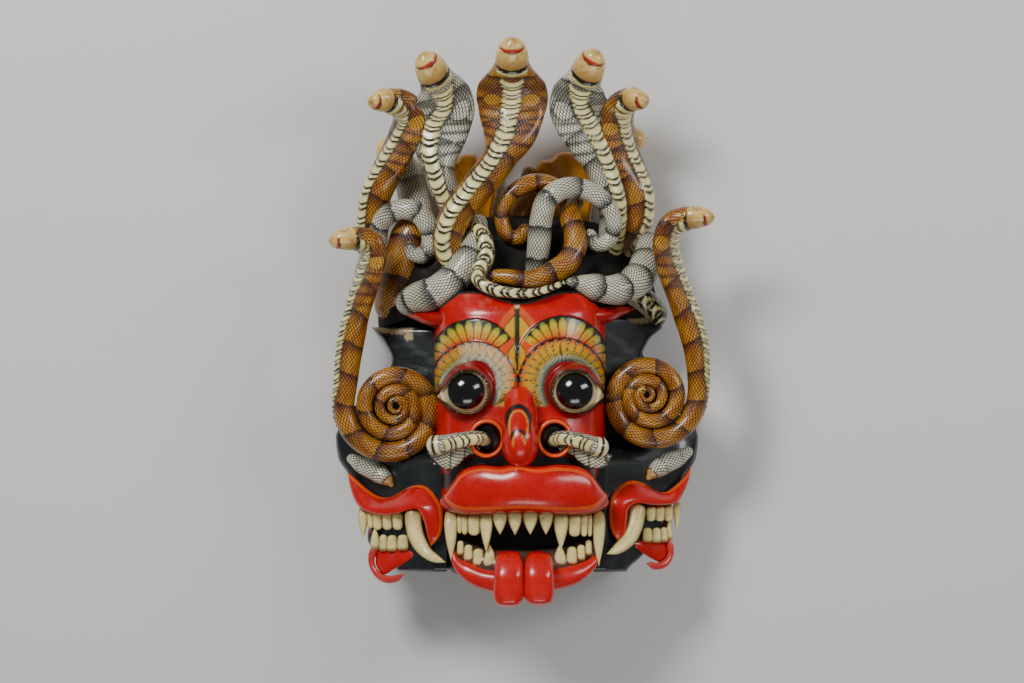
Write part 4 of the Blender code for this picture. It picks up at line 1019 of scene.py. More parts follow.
def paint_brows(coat, px, py):
    for m in brow_marks(px, py):
        eye = m["eye"]
        on_face = (px - eye["face_edge"]) * eye["corner"] < 0
        beyond_middle = (px - MIDDLE_PIXEL) * eye["corner"] > -0.5
        upper = inside(py - 388, 1.0) * on_face * beyond_middle
        width = np.maximum(m["inner"] - m["outer"], 0.1)
        share = m["inner"] / width
        outer_band = inside(m["outer"]) * inside(-m["inner"]) * upper
        outer_band = outer_band * (share < 1.0) * inside(py - 386, 2)
        coat = brush(coat, outer_band, BAND_BLACK)
        turn = np.degrees(np.arctan2(eye["outer"][1] - py, px - eye["outer"][0]))
        first = 8.0 if eye["corner"] < 0 else 1.0
        coat = petals(coat, turn + first, share, outer_band, 14.1, 0.93, 0.55, OUTER_PETALS, 0.07)
        coat = brush(coat, upper * line_at(m["outer"], 0.9) * inside(-m["inner"]) * inside(py - 380, 3),
                     INK)
        depth = -m["inner"] / np.maximum(m["lid"] - m["inner"], 0.1)
        share = 1 - depth
        inner_band = inside(m["inner"]) * inside(-m["lid"]) * (py < 407) * on_face
        inner_band = inner_band * inside((px - MIDDLE_PIXEL) * -eye["corner"] + 0.6)
        near_nose = blend(20, 28, (px - eye["ball"][0]) * -eye["corner"])
        inner_band = inner_band * inside(py - (392 + 14 * near_nose), 2)
        worn = (eye["corner"] < 0) * blend(455, 466, px) * (1 - blend(505, 516, px))
        worn = worn * (1 - blend(380, 400, py)) * 0.75
        coat = brush(coat, inner_band, BAND_GREY)
        coat = brush(coat, inner_band * (1 - blend(0.0, 0.22, share)), BAND_GREEN)
        turn = np.degrees(np.arctan2(eye["inner"][1] - py, px - eye["inner"][0]))
        crown = inner_band * blend(0.2, 0.3, share)
        coat = brush(coat, inner_band * blend(0.86, 0.9, share), "#241C18")
        coat = petals(coat, turn + 3, share, crown, 12.0, 0.97, 0.74, INNER_PETALS, 0.09)
        fine = np.abs(np.mod(turn / 4.0, 1) - 0.5)
        rays = inner_band * line_at(fine, 0.30, 0.25) * (1 - blend(0.35, 0.55, share))
        coat = brush(coat, 0.85 * rays, "#17241D")
        coat = brush(coat, worn * inner_band * (0.55 + 0.45 * wobble(px * 6, py * 6, 3)), PALE_WEAR)
        coat = brush(coat, on_face * line_at(m["inner"], 1.2) * inside(py - 392, 3), "#2B0E0A")
    return coat


def paint_eyes(coat, px, py):
    for m in brow_marks(px, py):
        coat = brush(coat, inside(m["lid"]) * inside(py - m["eye"]["ball"][1] - 14, 12), CRIMSON)
        low = blend(-6, 6, py - m["eye"]["ball"][1])
        coat = brush(coat, 0.9 * low * inside(m["opening"] - 4.2, 2.5), "#3A2A20")
        coat = brush(coat, inside(m["opening"] - 1.6, 0.8), "#1E0F0C")
        coat = brush(coat, inside(m["opening"]), "#F0DCA2")
    return coat


ORNAMENT_X = 517
LEAVES = [
    dict(top=303.5, foot=(18, 324), tip=(5, 338), leaf_top=313, leaf_side=(13, 329), leaf_end=(7, 341),
         over="outer"),
    dict(top=333.5, foot=(16.5, 348), tip=(0, 371), leaf_top=342, leaf_side=(8.8, 355), leaf_end=(0, 373),
         over="inner"),
]


def paint_ornament(coat, px, py):
    """The two leaves and the green stem between the brows."""
    across = np.abs(px - ORNAMENT_X)
    for leaf in LEAVES:
        top, leaf_top = leaf["top"], leaf["leaf_top"]
        (foot_x, foot_y), (tip_x, tip_y) = leaf["foot"], leaf["tip"]
        tent = [(0, top), (8, top + 7), (foot_x, foot_y), (tip_x + 4, tip_y + 3), (0, tip_y + 4),
                (-6, top + 12)]
        tent = line_to(across, py, tent, closed=True)
        free = np.ones_like(px)
        for eye in EYES.values():
            free = free * inside(-circle(px, py, eye[leaf["over"]]))
        coat = brush(coat, inside(tent) * free, "#E0561A")
        end_x, end_y = leaf["leaf_end"]
        gold = [(0, leaf_top), (7, leaf_top + 7), leaf["leaf_side"], (end_x, end_y), (-5, end_y),
                (-5, leaf_top)]
        gold = line_to(across, py, gold, closed=True)
        coat = brush(coat, inside(gold) * free, "#DFA21E")
        coat = brush(coat, line_at(gold, 0.9) * free * (across > 1.5), "#2A120A")
    stem = across - (2.2 - 1.5 * blend(345, 371, py))
    coat = brush(coat, inside(stem) * (py > 303) * (py < 371), "#20361A")
    coat = brush(coat, line_at(stem, 0.7) * (py > 303) * (py < 371), INK)
    return brush(coat, inside(np.hypot(px - ORNAMENT_X, py - 306) - 2.6), "#D9CBA0")


def paint_nose(coat, px, py):
    arch = line_to(px, py, [(507.8, 433), (506.6, 424), (508.2, 414), (512.5, 408), (518, 406),
                            (523.8, 408), (528.5, 414), (530.3, 424), (529.3, 433)])
    thick = 4.6 - 3.4 * blend(412, 432, py)
    inner = line_to(px, py, [(509.8, 434), (509, 424), (510.5, 417), (514, 412), (518, 410.8), (522.5, 412),
                             (526.2, 417), (528, 424), (527, 434)])
    coat = brush(coat, line_at(inner, 2.0), "#DB8A28")
    coat = brush(coat, inside(arch - 0.5 * thick), "#15100C")
    small = line_to(px, py, [(511, 440), (512.5, 433.5), (518, 430.3), (523.5, 433), (526.3, 439.5)])
    inner_small = line_to(px, py, [(513, 445), (513.6, 438), (518, 434.2), (522.6, 437), (525, 443)])
    coat = brush(coat, line_at(inner_small, 1.8), "#DB8A28")
    return brush(coat, inside(small - 1.5 + 0.9 * blend(433, 440, py)), "#2A0C08")


def red_coat(points, tone=LACQUER):
    """The face's lacquer, a little uneven, with the worn patch on the forehead."""
    px, py = pixel(points)
    coat = ground(px.shape, tone)
    coat = brush(coat, 0.30 * blend(0.2, 1.0, wobble(px, py * 1.4, 5)), "#EA1404")
    worn = 1 - blend(8, 24, np.hypot(px - 478, (py - 295) * 1.3))
    return brush(coat, 0.4 * worn * blend(-0.2, 0.8, wobble(px * 1.9, py * 1.1, 1)), "#E08468")


def strip_shade(px, py):
    """Distance to the two corners beside the upper lip, where shade is painted."""
    return np.minimum(np.hypot((px - 444.5) * 0.8, (py - 481) * 0.7),
                      np.hypot((px - 602) * 0.9, (py - 482) * 0.7))


def face_coat(points):
    px, py = pixel(points)
    coat = red_coat(points)
    coat = paint_brows(coat, px, py)
    coat = paint_ornament(coat, px, py)
    coat = paint_eyes(coat, px, py)
    to_top = block_top(points[..., 0]) - points[..., 1]
    coat = brush(coat, inside(to_top - 3.0 + 0.6 * wobble(px * 4, py, 2), 1.2), "#23241F")
    strip = line_to(px, py, [(452, 480), (462, 467), (480, 461.5), (518, 462.5), (556, 461), (582, 466),
                             (596, 480)])
    coat = brush(coat, inside(strip - 5.5, 3) * (py > 455), "#3B2B26")
    coat = brush(coat, blend(508, 516, py), SLATE)
    # Painted shade in the two corners beside the upper lip.
    coat = brush(coat, inside(strip_shade(px, py) - 6, 4), "#2B1B18")
    low_side = inside(points[..., 2] - 76, 4)
    return brush(coat, low_side, "#1D1414")


# %% [markdown]
# The red face is one relief of fine rows and columns, with walls down to the block behind it. The opening
# of the mouth is left out, and a Solidify gives it a thickness, so that it is a closed shell over the
# wood.

# %% The red face
MOUTH_OPENING = ((-62.0, -208, 0), (71.0, -178, 0))
WALL_FOOT = 0.4
PAINT_WALL = 3.0
PAINTED_SHADE_WALL_RED = "#A60503"


def take_away(obj, gone, join=0.0):
    """Deletes the vertices marked in the list `gone`, and joins those left closer than `join` mm."""
    shape = bmesh.new()
    shape.from_mesh(obj.data)
    shape.verts.ensure_lookup_table()
    bmesh.ops.delete(shape, geom=[v for v in shape.verts if gone[v.index]], context="VERTS")
    if join:
        bmesh.ops.remove_doubles(shape, verts=shape.verts, dist=join * MM)
    shape.to_mesh(obj.data)
    shape.free()


def open_corners(obj):
    """Takes away the patches where two walls of a relief would overlap, and joins the walls' edges."""
    corner = [value.value > 0.5 for value in obj.data.attributes["corner"].data]
    take_away(obj, corner, join=0.02)


def shell(obj, thick, inner=0):
    """Gives an open relief a thickness inwards. Its inner faces take the material slot `inner`."""
    select_only(obj)
    modifier = obj.modifiers.new("thickness", "SOLIDIFY")
    modifier.thickness = thick * MM
    modifier.offset = -1
    modifier.material_offset = inner
    modifier.material_offset_rim = inner
    bpy.ops.object.modifier_apply(modifier="thickness")
    for vertex in obj.data.vertices:
        vertex.co.z = max(vertex.co.z, GROUND_GAP * MM)
    bpy.ops.object.shade_smooth_by_angle(angle=math.radians(50))


def rows_of(*stretches):
    """Places from stretches (start, end, step), each place once."""
    parts = [np.linspace(a, b, max(2, int(round(abs(b - a) / step)) + 1))[:-1] for a, b, step in stretches]
    return np.append(np.concatenate(parts), stretches[-1][1])


def edge_rounding(distance, radius):
    return radius - np.sqrt(np.clip(radius**2 - np.clip(radius - distance, 0, radius) ** 2, 0, None))


def red_face():
    curve = np.sin(np.linspace(0, math.pi / 2, 20)[1:])
    flank = 75 + 11 * curve
    fall = np.linspace(0, 1, 9)[1:]
    wall = np.full(len(fall), flank[-1])
    x = np.concatenate([-wall, -flank[::-1], rows_of((-75, 75, 1.12)), flank, wall])
    aside = np.concatenate([fall[::-1], np.zeros(len(x) - 2 * len(fall)), fall])
    level = rows_of((CHIN, -125, 2.4), (-125, 36, 0.98), (36, 42, 0.8))
    share = (level - CHIN) / (42 - CHIN)
    share = np.concatenate([np.zeros(len(fall)), share, np.ones(len(fall))])
    drop = np.concatenate([fall[::-1], np.zeros(len(level)), fall])
    grid_x = np.repeat(x[:, None], len(share), 1)
    chin = chin_line(grid_x)
    grid_y = chin + (block_top(grid_x) - chin) * share[None, :]
    z = brow_relief(grid_x, grid_y, face_height(grid_x, grid_y))
    z = z - edge_rounding(np.minimum(block_top(grid_x) - grid_y, grid_y - chin), 4.0)
    floor = np.where(share[None, :] > 0.5, 66, WALL_FOOT)
    z = z + (floor - z) * drop[None, :]
    low = np.minimum(side_height(grid_x, grid_y) - 6, z)
    z = z + (low - z) * aside[:, None]
    points = np.stack([grid_x, grid_y, z], -1)
    corner = (drop[None, :] * aside[:, None] > 0).astype(float)
    # Painted shade: the side walls of the red face turn a darker red.
    coat = brush(face_coat(points), np.repeat(blend(0, 0.3, aside)[:, None], z.shape[1], 1), PAINTED_SHADE_WALL_RED)
    obj = sheet("red_face", points, paint=coat, corner=corner)
    open_corners(obj)
    low, high = to_world(np.array(MOUTH_OPENING))
    places = [v.co for v in obj.data.vertices]
    take_away(obj, [low[0] < p.x < high[0] and low[1] < p.y < high[1] for p in places])
    shell(obj, PAINT_WALL)
    return hand_in(obj, RED, "face_paint", "mask_head")


red_face()
print("red face:", len(MADE[-1].data.polygons), "faces")

# %% [markdown]
# A side face is a relief in slate black: the scooped flank behind the ear and the cheek that slopes to
# the side mouth. Where it meets the crown the paint is chipped and pale primer shows. A few flames are
# painted on the left flank, behind the ear.

# %% The two side faces
FLAMES = [[(371, 344), (379, 347), (388, 357), (380, 356)], [(377, 343), (384, 349), (391, 359),
                                                             (384, 355)],
          [(372, 351), (378, 353), (387, 361), (378, 358)]]
CHIPS = {
    -1: [[(368, 326), (380, 327), (398, 325), (414, 324), (412, 331), (400, 334), (388, 333), (374, 331)],
         [(404, 334), (411, 333), (413, 338), (407, 340)]],
    1: [[(624, 314), (640, 315), (653, 314), (654, 320), (644, 323), (630, 321)],
        [(660, 317), (666, 318), (665, 324), (660, 323)]],
}


def slate_coat(points, sign):
    px, py = pixel(points)
    coat = ground(px.shape, SLATE)
    grey = blend(0.1, 0.9, wobble(px * 0.9, py * 1.3, 4 + sign)) * 0.5
    coat = brush(coat, grey * blend(-125, -95, points[..., 1]), "#5C6769")
    coat = brush(coat, 0.3 * blend(0.3, 1, wobble(px * 5, py * 2, 2)), "#0F1313")
    if sign < 0:
        for flame in FLAMES:
            mark = line_to(px, py, flame, closed=True)
            reach = (px - 371) / 20
            coat = brush(coat, inside(mark), "#C8321A")
            coat = brush(coat, inside(mark) * blend(0.2, 0.5, reach), "#DE8A24")
            coat = brush(coat, inside(mark) * blend(0.6, 0.9, reach), "#A3A34A")
    for chip in CHIPS[sign]:
        mark = line_to(px, py, chip, closed=True) + 0.9 * wobble(px * 9, py * 9, 1)
        coat = brush(coat, inside(mark - 0.8, 0.6), "#8A7550")
        coat = brush(coat, inside(mark, 0.6), "#DCCB9C")
    return coat


def side_face(sign):
    name = "left_side_face" if sign < 0 else "right_side_face"
    top = FLANK_TOPS[sign]
    share = np.append(np.linspace(0, 1, 70), np.ones(8))
    fall = np.append(np.zeros(70), np.linspace(0, 1, 9)[1:])
    level = rows_of((SIDE_CHIN, top, 1.7))
    level = np.concatenate([np.full(8, SIDE_CHIN), level, np.full(8, top)]).astype(float)
    fall_y = np.concatenate([np.linspace(1, 0, 9)[:-1], np.zeros(len(level) - 16),
                             np.linspace(0, 1, 9)[1:]])
    outline = ease(OUTLINES[sign], level)[:, 0]
    start = 73.0
    x = start + (outline[None, :] - start) * share[:, None]
    if sign < 0:
        x, fall = x[::-1], fall[::-1]
    grid_y = np.repeat(level[None, :], len(x), 0)
    z = side_height(x, grid_y)
    edge = np.minimum(outline[None, :] - x, np.minimum(grid_y - SIDE_CHIN, top - grid_y))
    z = z - edge_rounding(edge, 5.0)
    down = np.maximum(fall[:, None], fall_y[None, :])
    z = z + (WALL_FOOT - z) * down
    points = np.stack([sign * x, grid_y, z], -1)
    corner = (fall[:, None] * fall_y[None, :] > 0).astype(float)
    coat = brush(slate_coat(points, sign), blend(0, 0.2, down), SLATE)
    obj = sheet(name, points, paint=coat, corner=corner)
    open_corners(obj)
    shell(obj, PAINT_WALL)
    return hand_in(obj, DARK, "face_paint", "mask_head")


for sign in (-1, 1):
    side_face(sign)
print("side faces:", [len(o.data.polygons) for o in MADE[-2:]])

# %% [markdown]
# Behind the painted surface lies the block itself: light wood, hollowed out from behind to a wall of some
# 14 mm. Its outside is black like the side faces, and where the chisel hollowed it the wood is bare. It
# is the relief once more, a little drawn in, with the mouth open through it.

# %% The hollow block of wood
WOOD_WALL = 14.0
WOOD_INSET = 2.2


def hollow_wood():
    inner = FACE_HALF_WIDTH - WOOD_INSET
    level = np.linspace(SIDE_CHIN + WOOD_INSET, 1, 56)
    fall = np.linspace(0, 1, 7)[1:]
    level = np.concatenate([np.full(6, level[0]), level, np.full(6, level[-1])])
    down = np.concatenate([fall[::-1], np.zeros(56), fall])
    part = np.linspace(0, 1, 16)
    columns = []
    for sign in (-1, 1):
        half = ease(OUTLINES[sign], level)[:, 0] - WOOD_INSET
        side = sign * (inner + 0.4 + (half[None, :] - inner - 0.4) * np.append(part, np.ones(6))[:, None])
        columns.append(side[::-1] if sign < 0 else side)
    middle = np.repeat(np.linspace(-inner, inner, 38)[:, None], len(level), 1)
    x = np.concatenate([columns[0], middle, columns[1]])
    aside = np.concatenate([fall[::-1], np.zeros(len(x) - 12), fall])
    front = np.abs(x) < inner + 0.1
    squeezed = np.where(front, x * FACE_HALF_WIDTH / inner, x)
    flank_top = np.where(x < 0, FLANK_TOPS[-1], FLANK_TOPS[1])
    top = np.where(front, block_top(squeezed), flank_top) - WOOD_INSET
    chin = np.where(front, chin_line(squeezed), SIDE_CHIN) + WOOD_INSET
    share = (level - level[0]) / (level[-1] - level[0])
    y = chin + (top - chin) * share[None, :]
    z = np.where(front, face_height(np.where(front, squeezed, 0), y), side_height(x, y)) - WOOD_INSET
    z = z + (WALL_FOOT - z) * np.maximum(aside[:, None], down[None, :])
    corner = (aside[:, None] * down[None, :] > 0).astype(float)
    low, high = MOUTH_OPENING
    open_mouth = (x > low[0]) & (x < high[0]) & (y > low[1]) & (y < high[1])
    obj = sheet("hollow_wood", np.stack([x, y, z], -1), paint=ground(x.shape, SLATE),
                corner=np.maximum(corner, open_mouth))
    open_corners(obj)
    obj.data.materials.append(DARK)
    obj.data.materials.append(RAW)
    shell(obj, WOOD_WALL, inner=1)
    bare = [face.material_index for face in obj.data.polygons]
    hand_in(obj, DARK, "face_paint", "mask_head")
    obj.data.materials.append(RAW)
    obj.data.polygons.foreach_set("material_index", bare)
    return obj


print("hollow wood:", len(hollow_wood().data.polygons), "faces")

# %% [markdown]
# The eyeballs are turned balls in gloss black enamel with a cream edge, let in behind the lids, and are
# the only pieces that shine like glass. The discs under the ears and the wings of the nose are turned
# forms too: a profile that is swept round.

# %% Eyeballs, ear discs and nostril rings
GLOSS_BLACK = enamel_on_wood("gloss_black_eye", 0.10, 0.9, unevenness=0.1)


NOSTRIL_CENTRES = {"left": (-33, -97), "right": (34, -97)}


def turned(centre, profile, stretch=(1, 1), sides=72):
    """The points of a closed form from a profile of (radius, z), swept round a centre."""
    profile = np.array(profile, float)
    angle = np.linspace(0, 2 * np.pi, sides + 1)
    return np.stack([
        centre[0] + stretch[0] * profile[:, :1] * np.cos(angle),
        centre[1] + stretch[1] * profile[:, :1] * np.sin(angle),
        np.repeat(profile[:, 1:], sides + 1, 1)], -1)


def hand_in_turned(name, points, coat, material):
    obj = sheet(name, points, paint=coat)
    close_up(obj)
    return hand_in(obj, material, "face_paint", "mask_head")


for side, eye in EYES.items():
    tilt = np.linspace(0, 0.8 * math.pi, 56)
    profile = [(EYE_RADIUS * math.sin(t), EYE_DEPTH + EYE_RADIUS * math.cos(t)) for t in tilt]
    profile += [(0, EYE_DEPTH - 20)]
    centre = seen(*eye["ball"], 155)
    points = turned(centre, profile)
    px, py = pixel(points)
    away = np.hypot(px - eye["ball"][0], py - eye["ball"][1])
    coat = brush(ground(px.shape, "#D3BE90"), inside(away - 18.5, 0.7), "#050606")
    coat = brush(coat, 0.7 * inside(np.abs(away - 19.3) - 0.4), "#6B5536")
    hand_in_turned(f"{side}_eyeball", points, coat, GLOSS_BLACK)

for side, ear in EARS.items():
    points = turned(ear["centre"], [(0, 42), (31, 42), (31, 60), (31, 84), (30, 88), (28, 89.6), (0, 89.8)])
    hand_in_turned(f"{side}_ear_disc", points, ground(points.shape[:2], SLATE), DARK)

for side, centre in NOSTRIL_CENTRES.items():
    profile = [(0, 149), (9, 149.5), (12, 151), (13.2, 155), (13.6, 161), (14.6, 164.4), (16.2, 165.8),
               (17.6, 165.2), (18.6, 162.5), (19, 157), (19, 148), (18, 138), (0, 136)]
    fine = np.linspace(0, 1, 60)
    stations = [(k / (len(profile) - 1), r, z) for k, (r, z) in enumerate(profile)]
    smooth = ease(stations, fine)
    points = turned(centre, smooth, (0.98, 1.06))
    radius = np.repeat(smooth[:, :1], points.shape[1], 1)
    height = points[..., 2]
    coat = red_coat(points)
    coat = brush(coat, inside(radius - 14.4, 1.2) * (height > 140), "#4A0D0C")
    coat = brush(coat, inside(radius - 11, 4) * (height > 140), "#1A0808")
    coat = brush(coat, inside(np.abs(radius - 16.4) - 1.6, 0.8) * (height > 158), ORANGE)
    hand_in_turned(f"{side}_nostril_ring", points, coat, RED)
print("turned forms:", [o.name for o in MADE[-6:]])

# %% [markdown]
# Nose, gums and brow points are bars with eased sections, carved from the same block on the real mask.
# The nose carries the painted arches over its tip.

# %% Bars of the face
def face_form(name, t, coat, material=RED):
    """Hands in a form of the head, which has no scales."""
    return finish_tube(name, t, coat, np.zeros_like(t["length"]), material, "face_paint", "mask_head")


def bar(name, route, girth, tone=LACQUER, ring=1.3, sides=48, painter=None):
    t = tube(route, girth, ring=ring, sides=sides)
    return face_form(name, t, painter(t) if painter else red_coat(t["points"], tone))


def nose_coat(t):
    px, py = pixel(t["points"])
    return paint_nose(red_coat(t["points"]), px, py)


bar("nose", [(0, -48, 138), (0, -62, 150), (0, -82, 166), (0, -100, 176), (0, -107, 173), (0, -110, 162)],
    [(0, 8, 8), (0.15, 15, 13), (0.45, 17, 18), (0.75, 18, 20), (0.92, 16.5, 17), (1, 12, 11)],
    ring=0.9, sides=84, painter=nose_coat)
bar("upper_gum",
    [(-76, -160, 130), (-62, -163, 142), (-35, -164, 150), (3, -164, 154), (42, -164, 150), (70, -163, 142),
     (84, -160, 130)],
    [(0, 7, 10), (0.2, 10, 12), (0.8, 10, 12), (1, 7, 10)], "#B4322C")
bar("lower_gum", [(-64, -206, 116), (-40, -219, 128), (3, -227, 132), (46, -219, 128), (72, -206, 116)],
    [(0, 12, 14), (0.5, 18, 24), (1, 12, 14)], "#5A4438")
for side, tip in (("left", (-120, 28, 76)), ("right", (115, 32, 78))):
    sign = SIGN[side]
    level = tip[1] - 7
    bar(f"{side}_brow_point",
        [(sign * 58, level - 2, 116), (sign * 84, level, 102), (0.5 * (tip[0] + sign * 84), level + 4,
                                                                88), tip],
        [(0, 11, 13), (0.5, 8, 11), (0.8, 4.5, 7), (1, 1.5, 3)], "#A80402")
print("bars:", [o.name for o in MADE[-5:]])

# %% [markdown]
# Lips, tongue and tusks have an outline of their own, which an eased bar can't give. `swell` carves a
# form between two edges that are drawn in the photograph's pixels: its middle line lies at a given
# height, it rises in front of it and falls behind it, and it closes where the edges meet. The upper lip
# has an orange line along both edges, and the side mouths' lips have one along the upper edge.

# %% A swelling form between two edges
CHEEK_LEVEL = 110


def swell(edges, middle, rise, back=9.0, square=0.85, rows=100, sides=56):
    lines = []
    share = 0.5 - 0.5 * np.cos(np.pi * np.linspace(0, 1, rows))
    for places in edges:
        curve, along = smooth_route([(x, y, 0) for x, y in places])
        lines.append(np.stack([np.interp(share * along[-1], along, curve[:, i]) for i in (0, 1)], 1))
    centre = 0.5 * (lines[0] + lines[1])
    reach = 0.5 * (lines[1] - lines[0])
    half = np.linalg.norm(reach, axis=1)
    if callable(middle):
        depth = middle(seen(centre[:, 0], centre[:, 1], CHEEK_LEVEL), share)
    else:
        depth = ease(middle, share)[:, 0]
    front = ease(rise, share)[:, 0]
    front = front * np.tanh(1.4 * half / front)
    behind = back * np.tanh(1.4 * half / back)
    around = np.pi * np.linspace(-1, 1, sides + 1)
    out = np.sign(np.sin(around)) * np.abs(np.sin(around)) ** square
    up = np.sign(np.cos(around)) * np.abs(np.cos(around)) ** square
    z = depth[:, None] + np.where(up > 0, up * front[:, None], up * behind[:, None])
    place = centre[:, None] + reach[:, None] * out[None, :, None]
    points = np.concatenate([seen(place[..., 0], place[..., 1], z), z[..., None]], -1)
    length = np.repeat(np.cumsum(np.append(0, np.linalg.norm(np.diff(centre, axis=0), axis=1)))[:, None],
                       sides + 1, axis=1)
    return dict(points=points, share=np.repeat(share[:, None], sides + 1, 1), out=out[None] + 0 * z,
                half=half[:, None] + 0 * z, length=length, total=length[-1, 0], side=half[:,
                                                                                          None] * out[None],
                around=around[None] + 0 * z)


def swollen(name, edges, middle, rise, painter, material=RED, **form):
    t = swell(edges, middle, rise, **form)
    return face_form(name, t, painter(t), material)


def edged(tone, first=True, second=False, width=3.6, at=2.9):
    """A painter of red with an orange line along the first or second edge."""
    def coat_of(t):
        coat = red_coat(t["points"], tone)
        for wanted, sign in ((first, -1), (second, 1)):
            if wanted:
                inward = t["half"] * (1 - sign * t["out"])
                line = inside(np.abs(inward - at) - 0.5 * width, 0.8) * (np.cos(t["around"]) > -0.2)
                coat = brush(coat, line, ORANGE)
                coat = brush(coat, 0.6 * inside(np.abs(inward - at - 2.5) - 0.4, 0.5), "#6A0A04")
                coat = brush(coat, inside(inward - 0.8, 0.5), "#3A0A06")
        return coat
    return coat_of


swollen("upper_lip",
        ([(442.5, 497), (446, 492), (453, 481), (463, 469.5), (480, 464.5), (500, 465.8), (518, 462.6),
          (536, 465.8), (560, 464), (580, 466.5), (592, 474), (601, 487), (608, 496)],
         [(442.5, 497), (446.5, 505), (455, 511), (466, 514), (492, 513.5), (520, 512.5), (550, 513.5),
          (580, 514), (594, 511), (603.5, 504), (608, 496)]),
        [(0, 148), (0.15, 156), (0.5, 168), (0.85, 156), (1, 148)],
        [(0, 8), (0.15, 14), (0.5, 19), (0.85, 14), (1, 8)], edged(LACQUER, True, True, 3.2, 5.5),
        rows=150, sides=80)
swollen("lower_lip",
        ([(453, 546), (458.7, 557.6), (471, 563.8), (483.6, 568.8), (500, 571), (524, 572), (545, 570),
          (573.3, 565), (587, 560), (596, 554)],
         [(453, 546), (450.6, 557.6), (455, 570), (467.5, 582.5), (483.6, 590), (500, 593), (524, 594),
          (545, 592), (567, 587.5), (579.5, 582.5), (593, 571), (598.8, 561), (596, 554)]),
        [(0, 136), (0.2, 144), (0.5, 152), (0.8, 144), (1, 136)], [(0, 8), (0.3, 12), (0.7, 12), (1, 8)],
        edged("#CF1410", False), rows=120)
tongue = [([(508, 550.5), (499, 553), (495, 562), (493.7, 580), (493.2, 596), (497, 604.5), (508, 608.3)],
           [(508, 550.5), (518, 552), (522.5, 561), (523.8, 580), (523.6, 597), (519.5, 604.8),
            (508, 608.3)]),
          ([(539, 550.5), (529.5, 552.5), (525, 562), (524.0, 580), (524.2, 597), (529, 604), (539, 606.8)],
           [(539, 550.5), (549, 554), (552.5, 562), (554.3, 580), (554, 596), (550.5, 603), (539, 606.8)])]
for side, edges in zip(("left", "right"), tongue):
    swollen(f"tongue_{side}", edges, [(0, 146), (0.2, 162), (0.5, 172), (0.8, 170), (1, 162)],
            [(0, 10), (0.3, 12), (0.8, 12), (1, 9)], edged("#D4120D", False), back=10, square=0.75)
print("lips and tongue:", [o.name for o in MADE[-4:]])

# %% [markdown]
# The teeth are carved one by one and painted ivory, with brown in the gaps and specks of age, and lighter
# patches of painted highlight. Fangs are pointed, the others are square blocks.

# %% Teeth
FANG = [(0, 0.75), (0.14, 1), (0.4, 0.97), (0.75, 0.55), (1, 0.06)]
BLOCK = [(0, 0.8), (0.15, 1), (0.6, 0.97), (0.9, 0.86), (1, 0.5)]


def ivory_coat(t, root=0.3):
    coat = ground(t["length"].shape, "#F5E192")
    # Painted highlights: lighter ivory in patches along the tooth.
    coat = brush(coat, 0.6 * blend(0.2, 0.9, wobble(t["length"] * 6, t["side"] * 6, 2)), "#FFF3BC")
    coat = brush(coat, 0.75 * (1 - blend(0.0, root, t["length"] / t["total"])), "#8E6420")
    return brush(coat, 0.6 * blend(0.6, 1.0, np.abs(np.sin(t["around"]))), "#7A5A20")


def tooth(name, left, right, root, tip, z, pointed):
    """One tooth in the photograph's pixels, from its root's line to its tip's, between two sides."""
    middle = 0.5 * (left + right)
    half = 0.5 * (right - left) + 0.25
    edges = ([], [])
    for share, wide in [(-0.06, 0.0), *(FANG if pointed else BLOCK), (1.03, 0.0)]:
        y = root + (tip - root) * share
        for edge, way in zip(edges, (-1, 1)):
            edge.append((middle + way * wide * half, y))
    swollen(name, edges, [(0, z - 5), (0.35, z), (1, z + (0 if pointed else 0.5))],
            [(0, 3), (0.3, 5.5), (0.8, 5), (1, 3)], ivory_coat, IVORY, back=5, square=0.8, rows=44,
            sides=32)


MAIN_TEETH = [
    (444.5, 457.5, 512, 559, True), (457.5, 461.8, 514, 533, False), (461.5, 468, 514, 534, False),
    (468, 480.3, 514, 535, False), (480, 492.5, 511, 551, True), (493, 507, 509.5, 534, True),
    (508, 522, 509, 534.5, True), (523, 537.5, 509, 534, True), (539, 553, 509, 534, True),
    (554, 568, 511, 549, True), (568.5, 580.5, 514, 536, False), (580.5, 587.5, 514, 536, False),
    (587.5, 592, 515, 536, False), (592.5, 605, 513, 565, True),
    (457, 464, 556, 541, False), (464, 473, 562, 545, False), (473, 483.5, 567, 549, False),
    (483.5, 496, 568, 545, True), (554, 566, 566, 544, True), (566, 577, 565, 547, False),
    (577, 585, 561, 545, False), (585, 592, 556, 540, False),
]
for k, (left, right, root, tip, pointed) in enumerate(MAIN_TEETH):
    upper = tip > root
    depth = (158 if upper else 150) - 0.0035 * (0.5 * (left + right) - 524) ** 2
    tooth(f"tooth_{k}", left, right, root, tip, depth, pointed)
print("main teeth:", len(MAIN_TEETH))

# %% [markdown]
# The side mouths follow the slope of the cheeks. Each has a lip that curls up at its outer end, a rolled
# lower lip, two short rows of teeth before dark gums and one long tusk at its inner end.

